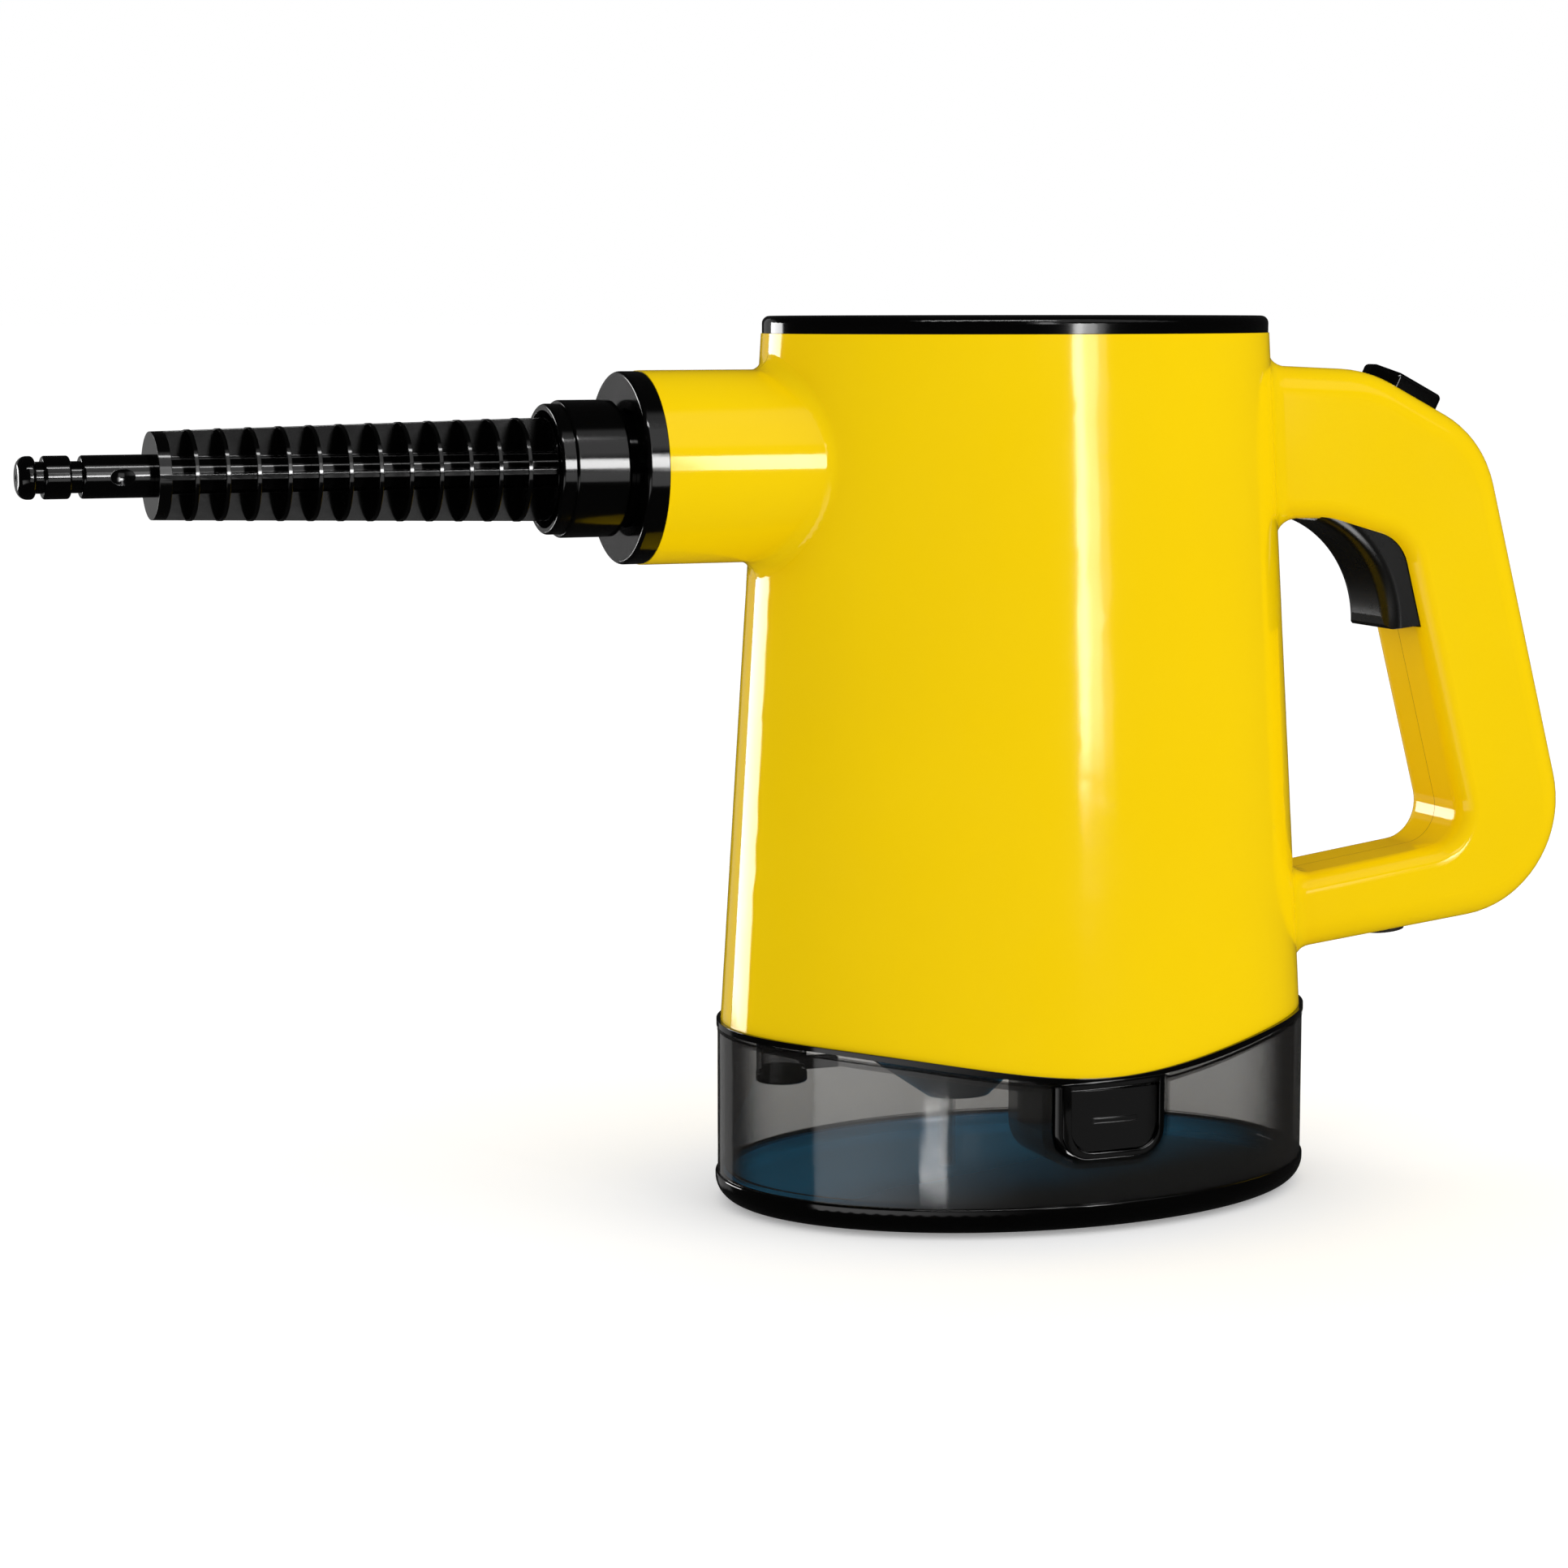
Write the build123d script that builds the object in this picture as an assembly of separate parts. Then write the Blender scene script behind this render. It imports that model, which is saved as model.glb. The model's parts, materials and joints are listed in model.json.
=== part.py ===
"""Hand-held wallpaper steamer: a lift-off water tank under a two-shell housing with boiler and pump,
a bayonet-mounted steam nozzle and a closed loop handle. Millimetres, +Z up. The origin is the centre
of the sole, on the symmetry plane Y = 0. The nozzle points to -X and the handle to +X."""
import os
from math import atan, cos, degrees, pi, sin, radians, sqrt

from build123d import *

# ------------------------------------------------------------------ tank
half_length = 94.5        # tank wall, centre to nose end
half_width = 67.5         # tank wall, centre to flank
tank_wall = 2.2
tank_floor = 2.2
boot_height = 9.0
boot_wall = 2.2
boot_overhang = 0.7       # how far the boot stands proud of the tank wall
boot_floor = 2.4
boot_rounding = 7.0
foot_rounding = 5.0       # lower edge of the tank inside the boot
sole_thickness = 1.2
sole_proud = 0.6          # how far the sole stands below the boot
sole_inset = 17.0         # sole edge in from the tank wall
fit = 0.1                 # clearance of parts that are pushed together
turning_play = 0.08       # radial clearance of the collar on the nozzle
play = 0.3                # clearance of parts that move past each other

# ------------------------------------------------------------------ wavy seam and skirt
seam_height = 51.3        # mean height of the casing's lower edge
seam_wave = 4.8           # it is this much higher at nose and tail, lower at the flanks
skirt_height = 3.0
skirt_overhang = 0.35
tongue_depth = 2.5        # how far the skirt's inner lip reaches into the tank
tongue_wall = 1.8
chassis_z = 54.5          # underside of the chassis plate
chassis_thickness = 2.5

# ------------------------------------------------------------------ casing
casing_top = 263.7
casing_step = 0.2         # casing wall in from the tank wall at its foot
casing_lean = 13.3        # the wall leans in by this much up to the top
casing_wall = 2.5
cover_thickness = 5.2
cover_rounding = 2.3
cover_inset = 0.3         # cover's rim in from the casing's
cover_lip = 4.0
cover_dish = 0.8

# ------------------------------------------------------------------ spout and socket
spout_drop = 38.9         # nozzle axis below the casing top
nozzle_z = casing_top - spout_drop
spout_radius = 28.45
spout_reach = 27.75       # spout front ahead of the tank's nose
root_rounding = 7.0
spout_rounding = 5.0
flange_thickness = 6.4
flange_radius = 28.2
flange_rounding = 1.0
socket_bore = 11.0
socket_wall = 3.0
socket_depth = 30.0       # bore length behind the flange's face
neck_length = 13.0        # neck ahead of the flange's face
neck_radius = 15.5
neck_step = 1.5
lug_height = 1.7
lug_length = 3.0
lug_angle = 50.0
lug_count = 3

# ------------------------------------------------------------------ handle
grip_width = 34.8
grip_depth = 39.6         # grip, front to back, measured level
shoulder_reach = 21.45    # top bend behind the tank's tail end
shoulder_drop = 11.8      # and below the casing top
brow_reach = 62.95        # back bend
brow_drop = 32.8
heel_reach = 102.55       # lower back bend, before rounding
heel_rise = 30.8          # above the seam
arm_root_rise = 15.4      # underside of the lower arm, above the seam, inside the casing
crown_drop = 9.1          # top line of the upper arm, below the casing top, inside the casing
arm_depth = 47.8          # upper arm, top to bottom, inside the casing
opening_knee_reach = 5.85 # where the opening's top line bends down
opening_knee_drop = 57.7
opening_top_drop = 65.3   # opening's top corner on the grip
opening_floor_rise = 50.9 # opening's bottom corner on the grip
opening_root_rise = 37.1  # opening's floor inside the casing
handle_root = 34.5        # handle start, in from the tank's tail end
shoulder_rounding = 42.0
brow_rounding = 35.0
heel_rounding = 36.0
opening_knee_rounding = 30.0
opening_top_rounding = 13.0
opening_floor_rounding = 11.5
grip_back_rounding = 9.0
grip_front_rounding = 6.0

# ------------------------------------------------------------------ trigger and switch
trigger_width = 27.0
trigger_length = 34.0     # top of the opening to the trigger's lower end
trigger_reach = 12.0      # how far it stands into the opening at its lower end
trigger_depth = 9.0       # how far it reaches into the grip
trigger_rounding = 5.0
trigger_slot_play = 0.5
trigger_swing = 8.0       # degrees
pin_radius = 1.5
pin_play = 0.05
hub_radius = 3.6
button_length = 23.5
button_width = 18.6
button_taper = 6.6        # the button's upper end is bevelled by this much on both sides
button_height = 4.9
button_skirt = 4.0
button_rounding = 1.6
button_corner = 1.2
button_travel = 3.0
switch_depth = 11.0
switch_width = 20.0
switch_length = 14.0

# ------------------------------------------------------------------ latch
latch_x = 1.1
latch_half = 18.25
latch_depth = 24.2
latch_bottom = 22.0
latch_corner = 9.0
latch_wall = 1.6
latch_rounding = 2.2      # front edges of the latch housing
pocket_play = 0.8
button_x = 2.35           # latch button centre
latch_button_half = 14.2
latch_button_top = 43.0
latch_button_bottom = 24.7
latch_button_corner = 7.0
latch_travel = 2.5
striker_half = 4.0        # post in the tank's pocket that the catch holds
striker_thickness = 1.6
striker_height = 12.0     # above the pocket's floor
striker_nose = 1.8
striker_set_back = 8.0    # behind the tank's flank
catch_thickness = 2.0

# ------------------------------------------------------------------ nozzle
nozzle_length = 175.5     # flange face to tip
tip_radius = 6.05
tip_length = 37.5
tip_cap_length = 4.9
tip_band_start = 7.1      # band between the ring grooves, from the tip's end
tip_band_end = 14.65
tip_body_start = 17.7
tip_groove_depth = 1.6
tip_dimple_at = 28.6      # dimple's centre from the tip's end
tip_dimple_radius = 8.0
tip_dimple_depth = 0.8
disc_proud = 0.2          # discs stand above the fins
disc_lead = 0.8           # first cooling disc behind the front disc, in disc pitches
core_tube_radius = 5.2
steam_bore = 2.2
cone_front_radius = 12.4
cone_back_radius = 15.0
disc_count = 12
disc_thickness = 1.2
front_disc_thickness = 3.6
fin_thickness = 1.6
collar_radius = 20.0
collar_length = 20.3
collar_gap = 2.5          # between collar and flange
collar_lip = 4.25
collar_lip_step = 1.0
collar_turn = 60.0        # degrees to lock

# ------------------------------------------------------------------ inside
screw_radius = 1.5
screw_head_radius = 2.8
screw_head_height = 2.0
boss_radius = 4.0
pump_x = 36.0
pump_box = 34.0
pump_height = 32.0
pump_barrel_radius = 10.0
hose_radius = 4.5
nipple_radius = 3.0
boiler_x = -12.0
boiler_radius = 32.0
boiler_wall = 5.0
boiler_z = 130.0
boiler_lower_height = 58.0
boiler_upper_height = 20.0
boiler_flange = 6.0
gasket_thickness = 1.0
bracket_thickness = 2.0
ledge_height = 3.0
pipe_radius = 3.0
pipe_bend = 9.0

# ------------------------------------------------------------------ worked out from the above
foot_z = seam_height - seam_wave - skirt_height
seam_low = seam_height - seam_wave
seam_high = seam_height + seam_wave
plate_top = chassis_z + chassis_thickness
spout_front = -(half_length + spout_reach)
flange_face = spout_front - flange_thickness
reach = half_length + half_width     # longer than anything in Y, used for cutting blocks
tongue_inset = tank_wall + 1.9       # tongue's outer face in from the tank's outer wall
slope = degrees(atan((brow_drop - shoulder_drop) / (brow_reach - shoulder_reach)))


# ================================================================== helpers
def oval(a, b, z):
    """Flat oval at height z."""
    return Plane.XY.offset(z) * Ellipse(a, b)


def oval_block(inset, low, high):
    """Upright oval block, its wall set in from the tank's wall."""
    return extrude(oval(half_length - inset, half_width - inset, low), high - low)


def casing_half(z, inset=0.0):
    """Half length and half width of the leaning casing at height z."""
    lean = casing_step + casing_lean * (z - foot_z) / (casing_top - foot_z) + inset
    return half_length - lean, half_width - lean


def casing_form(inset, low, high):
    """The leaning oval body between two heights."""
    return loft([oval(*casing_half(z, inset), z) for z in (low, high)], ruled=True)


def round_x(radius, x0, x1, y=0.0, z=nozzle_z):
    """Cylinder along X from x0 to x1."""
    return Pos((x0 + x1) / 2, y, z) * Rot(0, 90, 0) * Cylinder(radius, abs(x1 - x0))


def round_y(radius, x, z, y0, y1):
    """Cylinder along Y from y0 to y1."""
    return Pos(x, (y0 + y1) / 2, z) * Rot(90, 0, 0) * Cylinder(radius, abs(y1 - y0))


def round_z(radius, x, y, z0, z1):
    """Upright cylinder from z0 to z1."""
    return Pos(x, y, (z0 + z1) / 2) * Cylinder(radius, abs(z1 - z0))


def block(x0, x1, y0, y1, z0, z1):
    """Box between two corners."""
    return Pos((x0 + x1) / 2, (y0 + y1) / 2, (z0 + z1) / 2) * Box(x1 - x0, y1 - y0, z1 - z0)


def outline(corners):
    """Flat face in side view from (x, z, rounding) corners."""
    face = Polygon(*[(x, z) for x, z, _ in corners], align=None)
    for x, z, rounding in corners:
        if rounding:
            face = fillet(face.vertices().sort_by_distance((x, z, 0))[0], rounding)
    return face


def side_block(face, half):
    """A side-view face as a block of the given half width about Y = 0."""
    return extrude(Plane.XZ * face, half, both=True)


def below_seam(drop):
    """All that lies under the wavy seam lowered by drop."""
    low, high = seam_low - drop, seam_high - drop
    far = half_length + reach
    crest = Spline([(-half_length, high), (0, low), (half_length, high)], tangents=[(1, 0), (1, 0)])
    corners = ((half_length, high), (far, high), (far, -far), (-far, -far), (-far, high), (-half_length, high))
    rest = Polyline(*corners)
    return side_block(make_face(crest.edges() + rest.edges()), reach)


def half_space(side):
    """Everything on the -Y side (side -1) or the +Y side (side +1)."""
    big = 2 * reach + casing_top
    return Pos(0, side * big / 2, 0) * Box(2 * big, big, 2 * big)


def sector_ring(outer, inner, x0, x1, start):
    """Lugs round the nozzle axis: lug_count sectors of a ring, the first centred at start degrees."""
    lugs = None
    ring = round_x(outer, x0, x1) - round_x(inner, x0, x1)
    for step in range(lug_count):
        middle = radians(start + step * 360 / lug_count)
        half = radians(lug_angle / 2)
        far = 2 * outer
        corners = [(0, 0)]
        corners += [(far * cos(middle + turn), far * sin(middle + turn)) for turn in (-half, 0, half)]
        face = Plane(origin=(x0, 0, nozzle_z), x_dir=(0, 1, 0), z_dir=(1, 0, 0))
        wedge = face * Polygon(*corners, align=None)
        lug = ring & extrude(wedge, x1 - x0)
        lugs = lug if lugs is None else lugs + lug
    return lugs


def tube(points, outer, inner, bend):
    """Round tube along straight runs joined by arcs."""
    path = FilletPolyline(*points, radius=bend) if len(points) > 2 else Line(*points)
    section = Plane(origin=path @ 0, z_dir=path % 0) * (Circle(outer) - Circle(inner))
    return sweep(section, path=path)


def save(node, shape):
    """Write one sub-part."""
    export_step(shape, f"parts/{node}.step")


# ================================================================== handle
def back_line(z):
    """X of the grip's back face at height z, before rounding."""
    top_z, low_z = casing_top - brow_drop, seam_height + heel_rise
    return half_length + brow_reach + (heel_reach - brow_reach) * (top_z - z) / (top_z - low_z)


def handle_outline():
    """Outer outline of the handle, from inside the casing round to inside the casing."""
    root = half_length - handle_root
    return outline([
        (root, casing_top - crown_drop, 0),
        (half_length + shoulder_reach, casing_top - shoulder_drop, shoulder_rounding),
        (half_length + brow_reach, casing_top - brow_drop, brow_rounding),
        (half_length + heel_reach, seam_height + heel_rise, heel_rounding),
        (root, seam_height + arm_root_rise, 0),
    ])


def opening_outline():
    """Outline of the hand opening. Its left end lies inside the casing."""
    root = half_length - handle_root - 10
    top_z, low_z = casing_top - opening_top_drop, seam_height + opening_floor_rise
    return outline([
        (root, casing_top - crown_drop - arm_depth, 0),
        (half_length + opening_knee_reach, casing_top - opening_knee_drop, opening_knee_rounding),
        (back_line(top_z) - grip_depth, top_z, opening_top_rounding),
        (back_line(low_z) - grip_depth, low_z, opening_floor_rounding),
        (root, seam_height + opening_root_rise, 0),
    ])


def handle_form(inset):
    """The handle as a solid bar, or its inner space when inset by the casing wall."""
    outer = handle_outline()
    opening = opening_outline()
    if inset:
        outer = offset(outer, -inset)
        opening = offset(opening, inset)
    half = grip_width / 2 - inset
    bar = side_block(outer - opening, half)
    root = bar.bounding_box().min.X + 0.5
    for loop, rounding in ((opening, grip_front_rounding), (outer, grip_back_rounding)):
        loop_edges = (Plane.XZ * loop).edges()
        chosen = []
        for edge in bar.edges():
            middle = edge @ 0.5
            on_side = abs(abs(middle.Y) - half) < 0.01
            on_loop = min(e.distance_to(Vector(middle.X, 0, middle.Z)) for e in loop_edges) < 0.05
            if on_side and on_loop and middle.X > root:
                chosen.append(edge)
        bar = fillet(chosen, rounding - inset)
    return bar


# ================================================================== casing shells
shell_bosses = [          # screw places in side view
    (-0.62 * half_length, 160.0),
    (0.62 * half_length, 160.0),
    (-0.7 * half_length, plate_top + 17),
    (0.7 * half_length, plate_top + 17),
    (-0.4 * half_length, casing_top - 15),
    (0.5 * half_length, casing_top - 15),
    (half_length + 56, casing_top - 44),
    (back_line(112) - grip_depth / 2 + 1, 112.0),
    (half_length + 14, seam_height + 32),
]
foot_bosses = [(sx * 0.58 * half_length, sy * 0.62 * half_width) for sx in (-1, 1) for sy in (-1, 1)]
boss_face = 6.0           # screw head seat, from the split plane
screw_reach = 10.0


def casing_outside():
    """Body, spout and handle in one outer form with rounded roots."""
    body = casing_form(0, foot_z, casing_top)
    spout = round_x(spout_radius, spout_front, 0)
    whole = body + spout
    whole = fillet(new_edges(body, spout, combined=whole), spout_rounding)
    handle = handle_form(0)
    joined = whole + handle
    return fillet(new_edges(whole, handle, combined=joined), root_rounding)


def casing_inside():
    """The inner space of body, spout and handle."""
    body = casing_form(casing_wall, foot_z - 1, casing_top + 1)
    spout = round_x(spout_radius - casing_wall, spout_front - 1, 0)
    return body + spout + handle_form(casing_wall)


def trigger_frame():
    """Pivot and reference points of the trigger, from the hand opening."""
    tip_x = half_length + opening_knee_reach - 2.0
    top_z = casing_top - opening_knee_drop
    low_z = top_z - trigger_length
    grip_x = back_line(low_z) - grip_depth
    return tip_x, top_z, low_z, grip_x


def trigger_pivot():
    """Centre of the trigger's pivot pin, in side view."""
    tip_x, top_z, _, _ = trigger_frame()
    return tip_x + 7.0, top_z + 6.5


def trigger_face(grow=0.0):
    """Side view of the trigger: hollow front, back inside the grip. Grown, it is the slot's outline."""
    tip_x, top_z, low_z, grip_x = trigger_frame()
    shell_x = back_line(casing_top - opening_top_drop) - grip_depth
    front = ThreePointArc(
        (tip_x, top_z - 0.8),
        (tip_x + 0.74 * (grip_x - trigger_reach - tip_x) + 0.8, top_z - 0.42 * trigger_length),
        (grip_x - trigger_reach + 1.0, low_z + 2.5),
    )
    rest = Polyline(
        front @ 1,
        (grip_x - trigger_reach + 1.6, low_z - 0.2),
        (grip_x - trigger_reach + 3.4, low_z - 1.4),
        (grip_x + 0.5, low_z - 0.4),
        (grip_x + trigger_depth, low_z + 0.6),
        (shell_x + trigger_depth, casing_top - opening_top_drop + 2.0),
        (shell_x - 4.0, top_z + 2.4),
        (tip_x, top_z + 4.0),
        front @ 0,
    )
    face = make_face(front.edges() + rest.edges())
    return offset(face, grow) if grow else face


def trigger_slot():
    """Cut in the handle that lets the trigger through, over its whole swing."""
    half = trigger_width / 2 + trigger_slot_play
    px, pz = trigger_pivot()
    face = trigger_face(trigger_slot_play)
    swing = [side_block(face, half)]
    for angle in (trigger_swing / 2, trigger_swing + 0.5):
        swing.append(Pos(px, 0, pz) * Rot(0, -angle, 0) * Pos(-px, 0, -pz) * swing[0])
    return swing[0] + swing[1] + swing[2]


def switch_frame():
    """Place of the switch button on the sloping shoulder: local X down the slope, local Z outwards."""
    middle = 0.5
    x = half_length + shoulder_reach + middle * (brow_reach - shoulder_reach) - 6.0
    z = casing_top - shoulder_drop - (x - half_length - shoulder_reach) * (
        (brow_drop - shoulder_drop) / (brow_reach - shoulder_reach))
    return Pos(x, 0, z) * Rot(0, slope, 0)


def button_outline(grow):
    """Plan of the switch button: square at its lower end, bevelled at its upper end."""
    half, side = button_length / 2, button_width / 2
    corners = [(half, -side), (half, side), (button_taper - half, side), (-half, side - button_taper),
               (-half, button_taper - side), (button_taper - half, -side)]
    face = Polygon(*corners, align=None)
    face = fillet(face.vertices(), button_corner)
    return offset(face, grow) if grow else face


def gland_frame():
    """Place of the cable gland on the underside of the lower arm: local Z points into the arm."""
    run = heel_reach + handle_root
    lift = heel_rise - arm_root_rise
    x = half_length + 36.0
    z = seam_height + arm_root_rise + lift * (x - half_length + handle_root) / run
    return Pos(x, 0, z) * Rot(0, -degrees(atan(lift / run)), 0)


gland_radius = 5.5


def boiler_ledges():
    """Two shelves on the casing walls that carry the boiler bracket."""
    top = boiler_z - 4.0 - bracket_thickness
    shelf = block(boiler_x - 16, boiler_x + 16, -half_width, half_width, top - ledge_height, top)
    inner = half_width - 23
    gap = block(boiler_x - 17, boiler_x + 17, -inner, inner, top - ledge_height - 1, top + 1)
    return shelf - gap


def switch_ribs():
    """Ribs in the handle that hold the power switch between the shells."""
    frame = switch_frame()
    low = -(button_skirt + button_travel + 2.0) - switch_depth
    rib = Box(8, grip_width, switch_depth - 4) - Box(9, switch_width + 2 * fit, switch_depth)
    return frame * Pos(0, 0, low + switch_depth / 2) * rib


def spring_seat():
    """Shelf inside the upper arm above the trigger spring."""
    px, pz = trigger_pivot()
    return block(px + 5.0, px + 14.5, -grip_width / 2, grip_width / 2, pz + 9.5, pz + 11.5)


def micro_pins():
    """Two pins on one shell that carry the trigger's microswitch."""
    x, z = micro_place()
    pins = None
    for step in (-5, 5):
        pin = round_y(1.2, x + 6, z + step, -grip_width / 2 + 1, 3.0)
        pins = pin if pins is None else pins + pin
    return pins


def micro_place():
    """Front middle of the microswitch, just past the trigger's pressed position."""
    _, _, low_z, grip_x = trigger_frame()
    return grip_x + trigger_depth + 7.0, low_z + 10.0


def casing_shells():
    """Left and right shells with bosses, ledges and cut-outs."""
    outside = casing_outside()
    inside = casing_inside()
    under = below_seam(0)
    walls = outside - inside - under
    extras = boiler_ledges() + switch_ribs() + spring_seat()
    for x, z in shell_bosses:
        extras = extras + round_y(boss_radius, x, z, -half_width, half_width)
    for x, y in foot_bosses:
        extras = extras + round_z(boss_radius + 0.5, x, y, plate_top + fit, plate_top + 20)
        y0, y1 = sorted((y, half_width if y > 0 else -half_width))
        extras = extras + block(x - 1.5, x + 1.5, y0, y1, plate_top + fit, plate_top + 18)
    walls = walls + (extras & outside)
    holes = trigger_slot()
    holes = holes + switch_frame() * extrude(button_outline(play), 2 * button_height, both=True)
    holes = holes + gland_frame() * Cylinder(gland_radius + fit, 12)
    for x, y in foot_bosses:
        holes = holes + round_z(screw_radius - 0.2, x, y, plate_top - 1, plate_top + screw_reach)
    px, pz = trigger_pivot()
    pin_half = grip_width / 2 - casing_wall + 1.2
    holes = holes + round_y(pin_radius, px, pz, -pin_half, pin_half)
    walls = walls - holes
    shells = []
    for side in (-1, 1):
        shell = walls & half_space(side)
        for x, z in shell_bosses:
            if side > 0:
                shell = shell - round_y(screw_head_radius + 0.4, x, z, boss_face, half_width)
                shell = shell - round_y(screw_radius + 0.2, x, z, -1, boss_face + 1)
            else:
                shell = shell - round_y(screw_radius - 0.2, x, z, -screw_reach, 1)
        shells.append(shell)
    shells[0] = shells[0] + (micro_pins() & outside)
    return shells


def largest(shape):
    """The biggest solid of a shape."""
    return shape.solids().sort_by(SortBy.VOLUME)[-1]


def screw(radius, length):
    """Screw with its head's underside at the origin and its shank along -Z."""
    head = Pos(0, 0, screw_head_height / 2) * Cylinder(screw_head_radius, screw_head_height)
    shank = Pos(0, 0, -length / 2) * Cylinder(radius, length)
    cross = Pos(0, 0, screw_head_height) * (Box(3.4, 0.8, 1.6) + Box(0.8, 3.4, 1.6))
    return head + shank - cross


def shell_screws():
    """One screw in each shell boss, driven from the right-hand side."""
    one = screw(screw_radius - 0.2, boss_face + screw_reach - 1)
    return Compound([Pos(x, boss_face, z) * Rot(-90, 0, 0) * one for x, z in shell_bosses])


def chassis_screws():
    """Screws up through the chassis plate into the shells' foot bosses."""
    one = screw(screw_radius - 0.2, chassis_thickness + screw_reach - 1.5)
    return Compound([Pos(x, y, chassis_z) * Rot(180, 0, 0) * one for x, y in foot_bosses])


def top_cover():
    """Flush cover with rounded rim, a shallow dish and a lip inside the casing."""
    a, b = casing_half(casing_top, cover_inset)
    plate = extrude(oval(a, b, casing_top), cover_thickness)
    plate = fillet(plate.edges().group_by(Axis.Z)[-1], cover_rounding)
    dish = loft([oval(a - 9, b - 9, casing_top + cover_thickness),
                 oval(a - 14, b - 14, casing_top + cover_thickness - cover_dish)], ruled=True)
    inner = casing_half(casing_top, casing_wall + fit)
    lip = extrude(oval(*inner, casing_top - cover_lip), cover_lip)
    floor = oval(inner[0] - 2, inner[1] - 2, casing_top - cover_lip)
    hollow = extrude(floor, cover_lip + cover_thickness - 3)
    lip_lean = casing_form(casing_wall + fit, casing_top - cover_lip, casing_top)
    return plate - dish + (lip & lip_lean) - hollow


# ================================================================== chassis, tank and latch
def latch_face(grow):
    """Front view of the latch housing, grown by a clearance. It is open upwards."""
    left, right = latch_x - latch_half - grow, latch_x + latch_half + grow
    low, high = latch_bottom - grow, chassis_z
    return outline([(left, high, 0), (right, high, 0), (right, low, latch_corner + grow),
                    (left, low, latch_corner + grow)])


def latch_block(grow, front, back):
    """Latch housing block between two planes across Y."""
    return Pos(0, (front + back) / 2, 0) * side_block(latch_face(grow), (back - front) / 2)


latch_back = -half_width + latch_depth + 0.3
pocket_wall = 2.0


striker_front = -half_width + striker_set_back
pocket_floor = latch_bottom - pocket_play


def striker():
    """Post on the pocket's floor with a nose at its top that faces inwards."""
    top = pocket_floor + striker_height
    back = striker_front + striker_thickness
    x0, x1 = button_x - striker_half, button_x + striker_half
    post = block(x0, x1, striker_front, back, pocket_floor - 1, top)
    return post + block(x0, x1, back - 0.5, back + striker_nose, top - 2, top)


def rounded_foot(shape, rounding):
    """Round the lower edge of an upright block."""
    return fillet(shape.edges().group_by(Axis.Z)[0], rounding)


def tank_tub():
    """Clear tank: oval wall up to the wavy rim, thin floor, and a pocket in its flank for the latch."""
    step = boot_wall - boot_overhang + fit
    floor_z = sole_proud + boot_floor
    foot = rounded_foot(oval_block(step, floor_z, boot_height), foot_rounding)
    outer = oval_block(0, boot_height, chassis_z) + foot
    inner = oval_block(tank_wall, boot_height + tank_wall / 2, chassis_z + 1)
    inner = inner + rounded_foot(oval_block(step + tank_wall, floor_z + tank_floor, chassis_z),
                                 foot_rounding - tank_floor)
    tub = outer - inner
    pocket = latch_block(pocket_play + pocket_wall, -reach, latch_back + pocket_play + pocket_wall)
    tub = tub + (pocket & outer)
    tub = tub - latch_block(pocket_play, -reach, latch_back + pocket_play)
    return (tub & below_seam(skirt_height + play)) + striker()


def tank_boot():
    """Black boot round the foot of the tank, with a rounded lower edge and a recess for the sole."""
    boot = oval_block(-boot_overhang, sole_proud, boot_height)
    boot = rounded_foot(boot, boot_rounding)
    boot = fillet(boot.edges().group_by(Axis.Z)[-1], 0.5)
    inside = oval_block(boot_wall - boot_overhang, sole_proud + boot_floor, boot_height + 1)
    boot = boot - rounded_foot(inside,
                               foot_rounding)
    return boot - oval_block(sole_inset - fit, 0, sole_thickness)


def boot_sole():
    """Flat rubber sole that the steamer stands on."""
    return oval_block(sole_inset, 0, sole_thickness)


def pocket_gap():
    """What the skirt's lip leaves free for the tank's latch pocket."""
    grow = pocket_play + pocket_wall + 2 * play
    high = latch_block(grow, -reach, latch_back + grow)
    return high & below_seam(skirt_height)


sump_hole = [(pump_x, 0.0, nipple_radius + fit)]


def chassis():
    """Floor of the housing with the wavy skirt and the lip that enters the tank."""
    skirt = oval_block(-skirt_overhang, 0, plate_top)
    skirt = skirt - oval_block(tongue_inset + tongue_wall, -1, plate_top + 1)
    skirt = (skirt & below_seam(0)) - below_seam(skirt_height)
    lip = oval_block(tongue_inset, 0, plate_top) - oval_block(tongue_inset + tongue_wall, -1, plate_top + 1)
    lip = lip - below_seam(skirt_height + tongue_depth)
    plate = oval_block(tongue_inset, chassis_z, plate_top)
    floor = skirt + lip + plate - pocket_gap()
    for x, y in foot_bosses:
        floor = floor - round_z(screw_radius + 0.1, x, y, chassis_z - 1, plate_top + 1)
    for x, y, radius in sump_hole:
        floor = floor - round_z(radius, x, y, chassis_z - 1, plate_top + 1)
    return floor


def tank_seal():
    """Seal round the skirt's lip, just clear of the tank wall."""
    ring = oval_block(tank_wall + play, 0, plate_top) - oval_block(tongue_inset, -1, plate_top + 1)
    ring = (ring & below_seam(skirt_height)) - below_seam(skirt_height + tongue_depth - 0.4)
    grow = pocket_play + pocket_wall + 2 * play
    return ring - latch_block(grow, -reach, latch_back + grow)


def latch_window(grow, lift=0.0):
    """Front view of the latch button, grown by a clearance and open upwards by lift."""
    left, right = button_x - latch_button_half - grow, button_x + latch_button_half + grow
    corner = latch_button_corner + grow
    high, low = latch_button_top + grow + lift, latch_button_bottom - grow
    return outline([(left, high, 0.5), (right, high, 0.5), (right, low, corner), (left, low, corner)])


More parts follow.
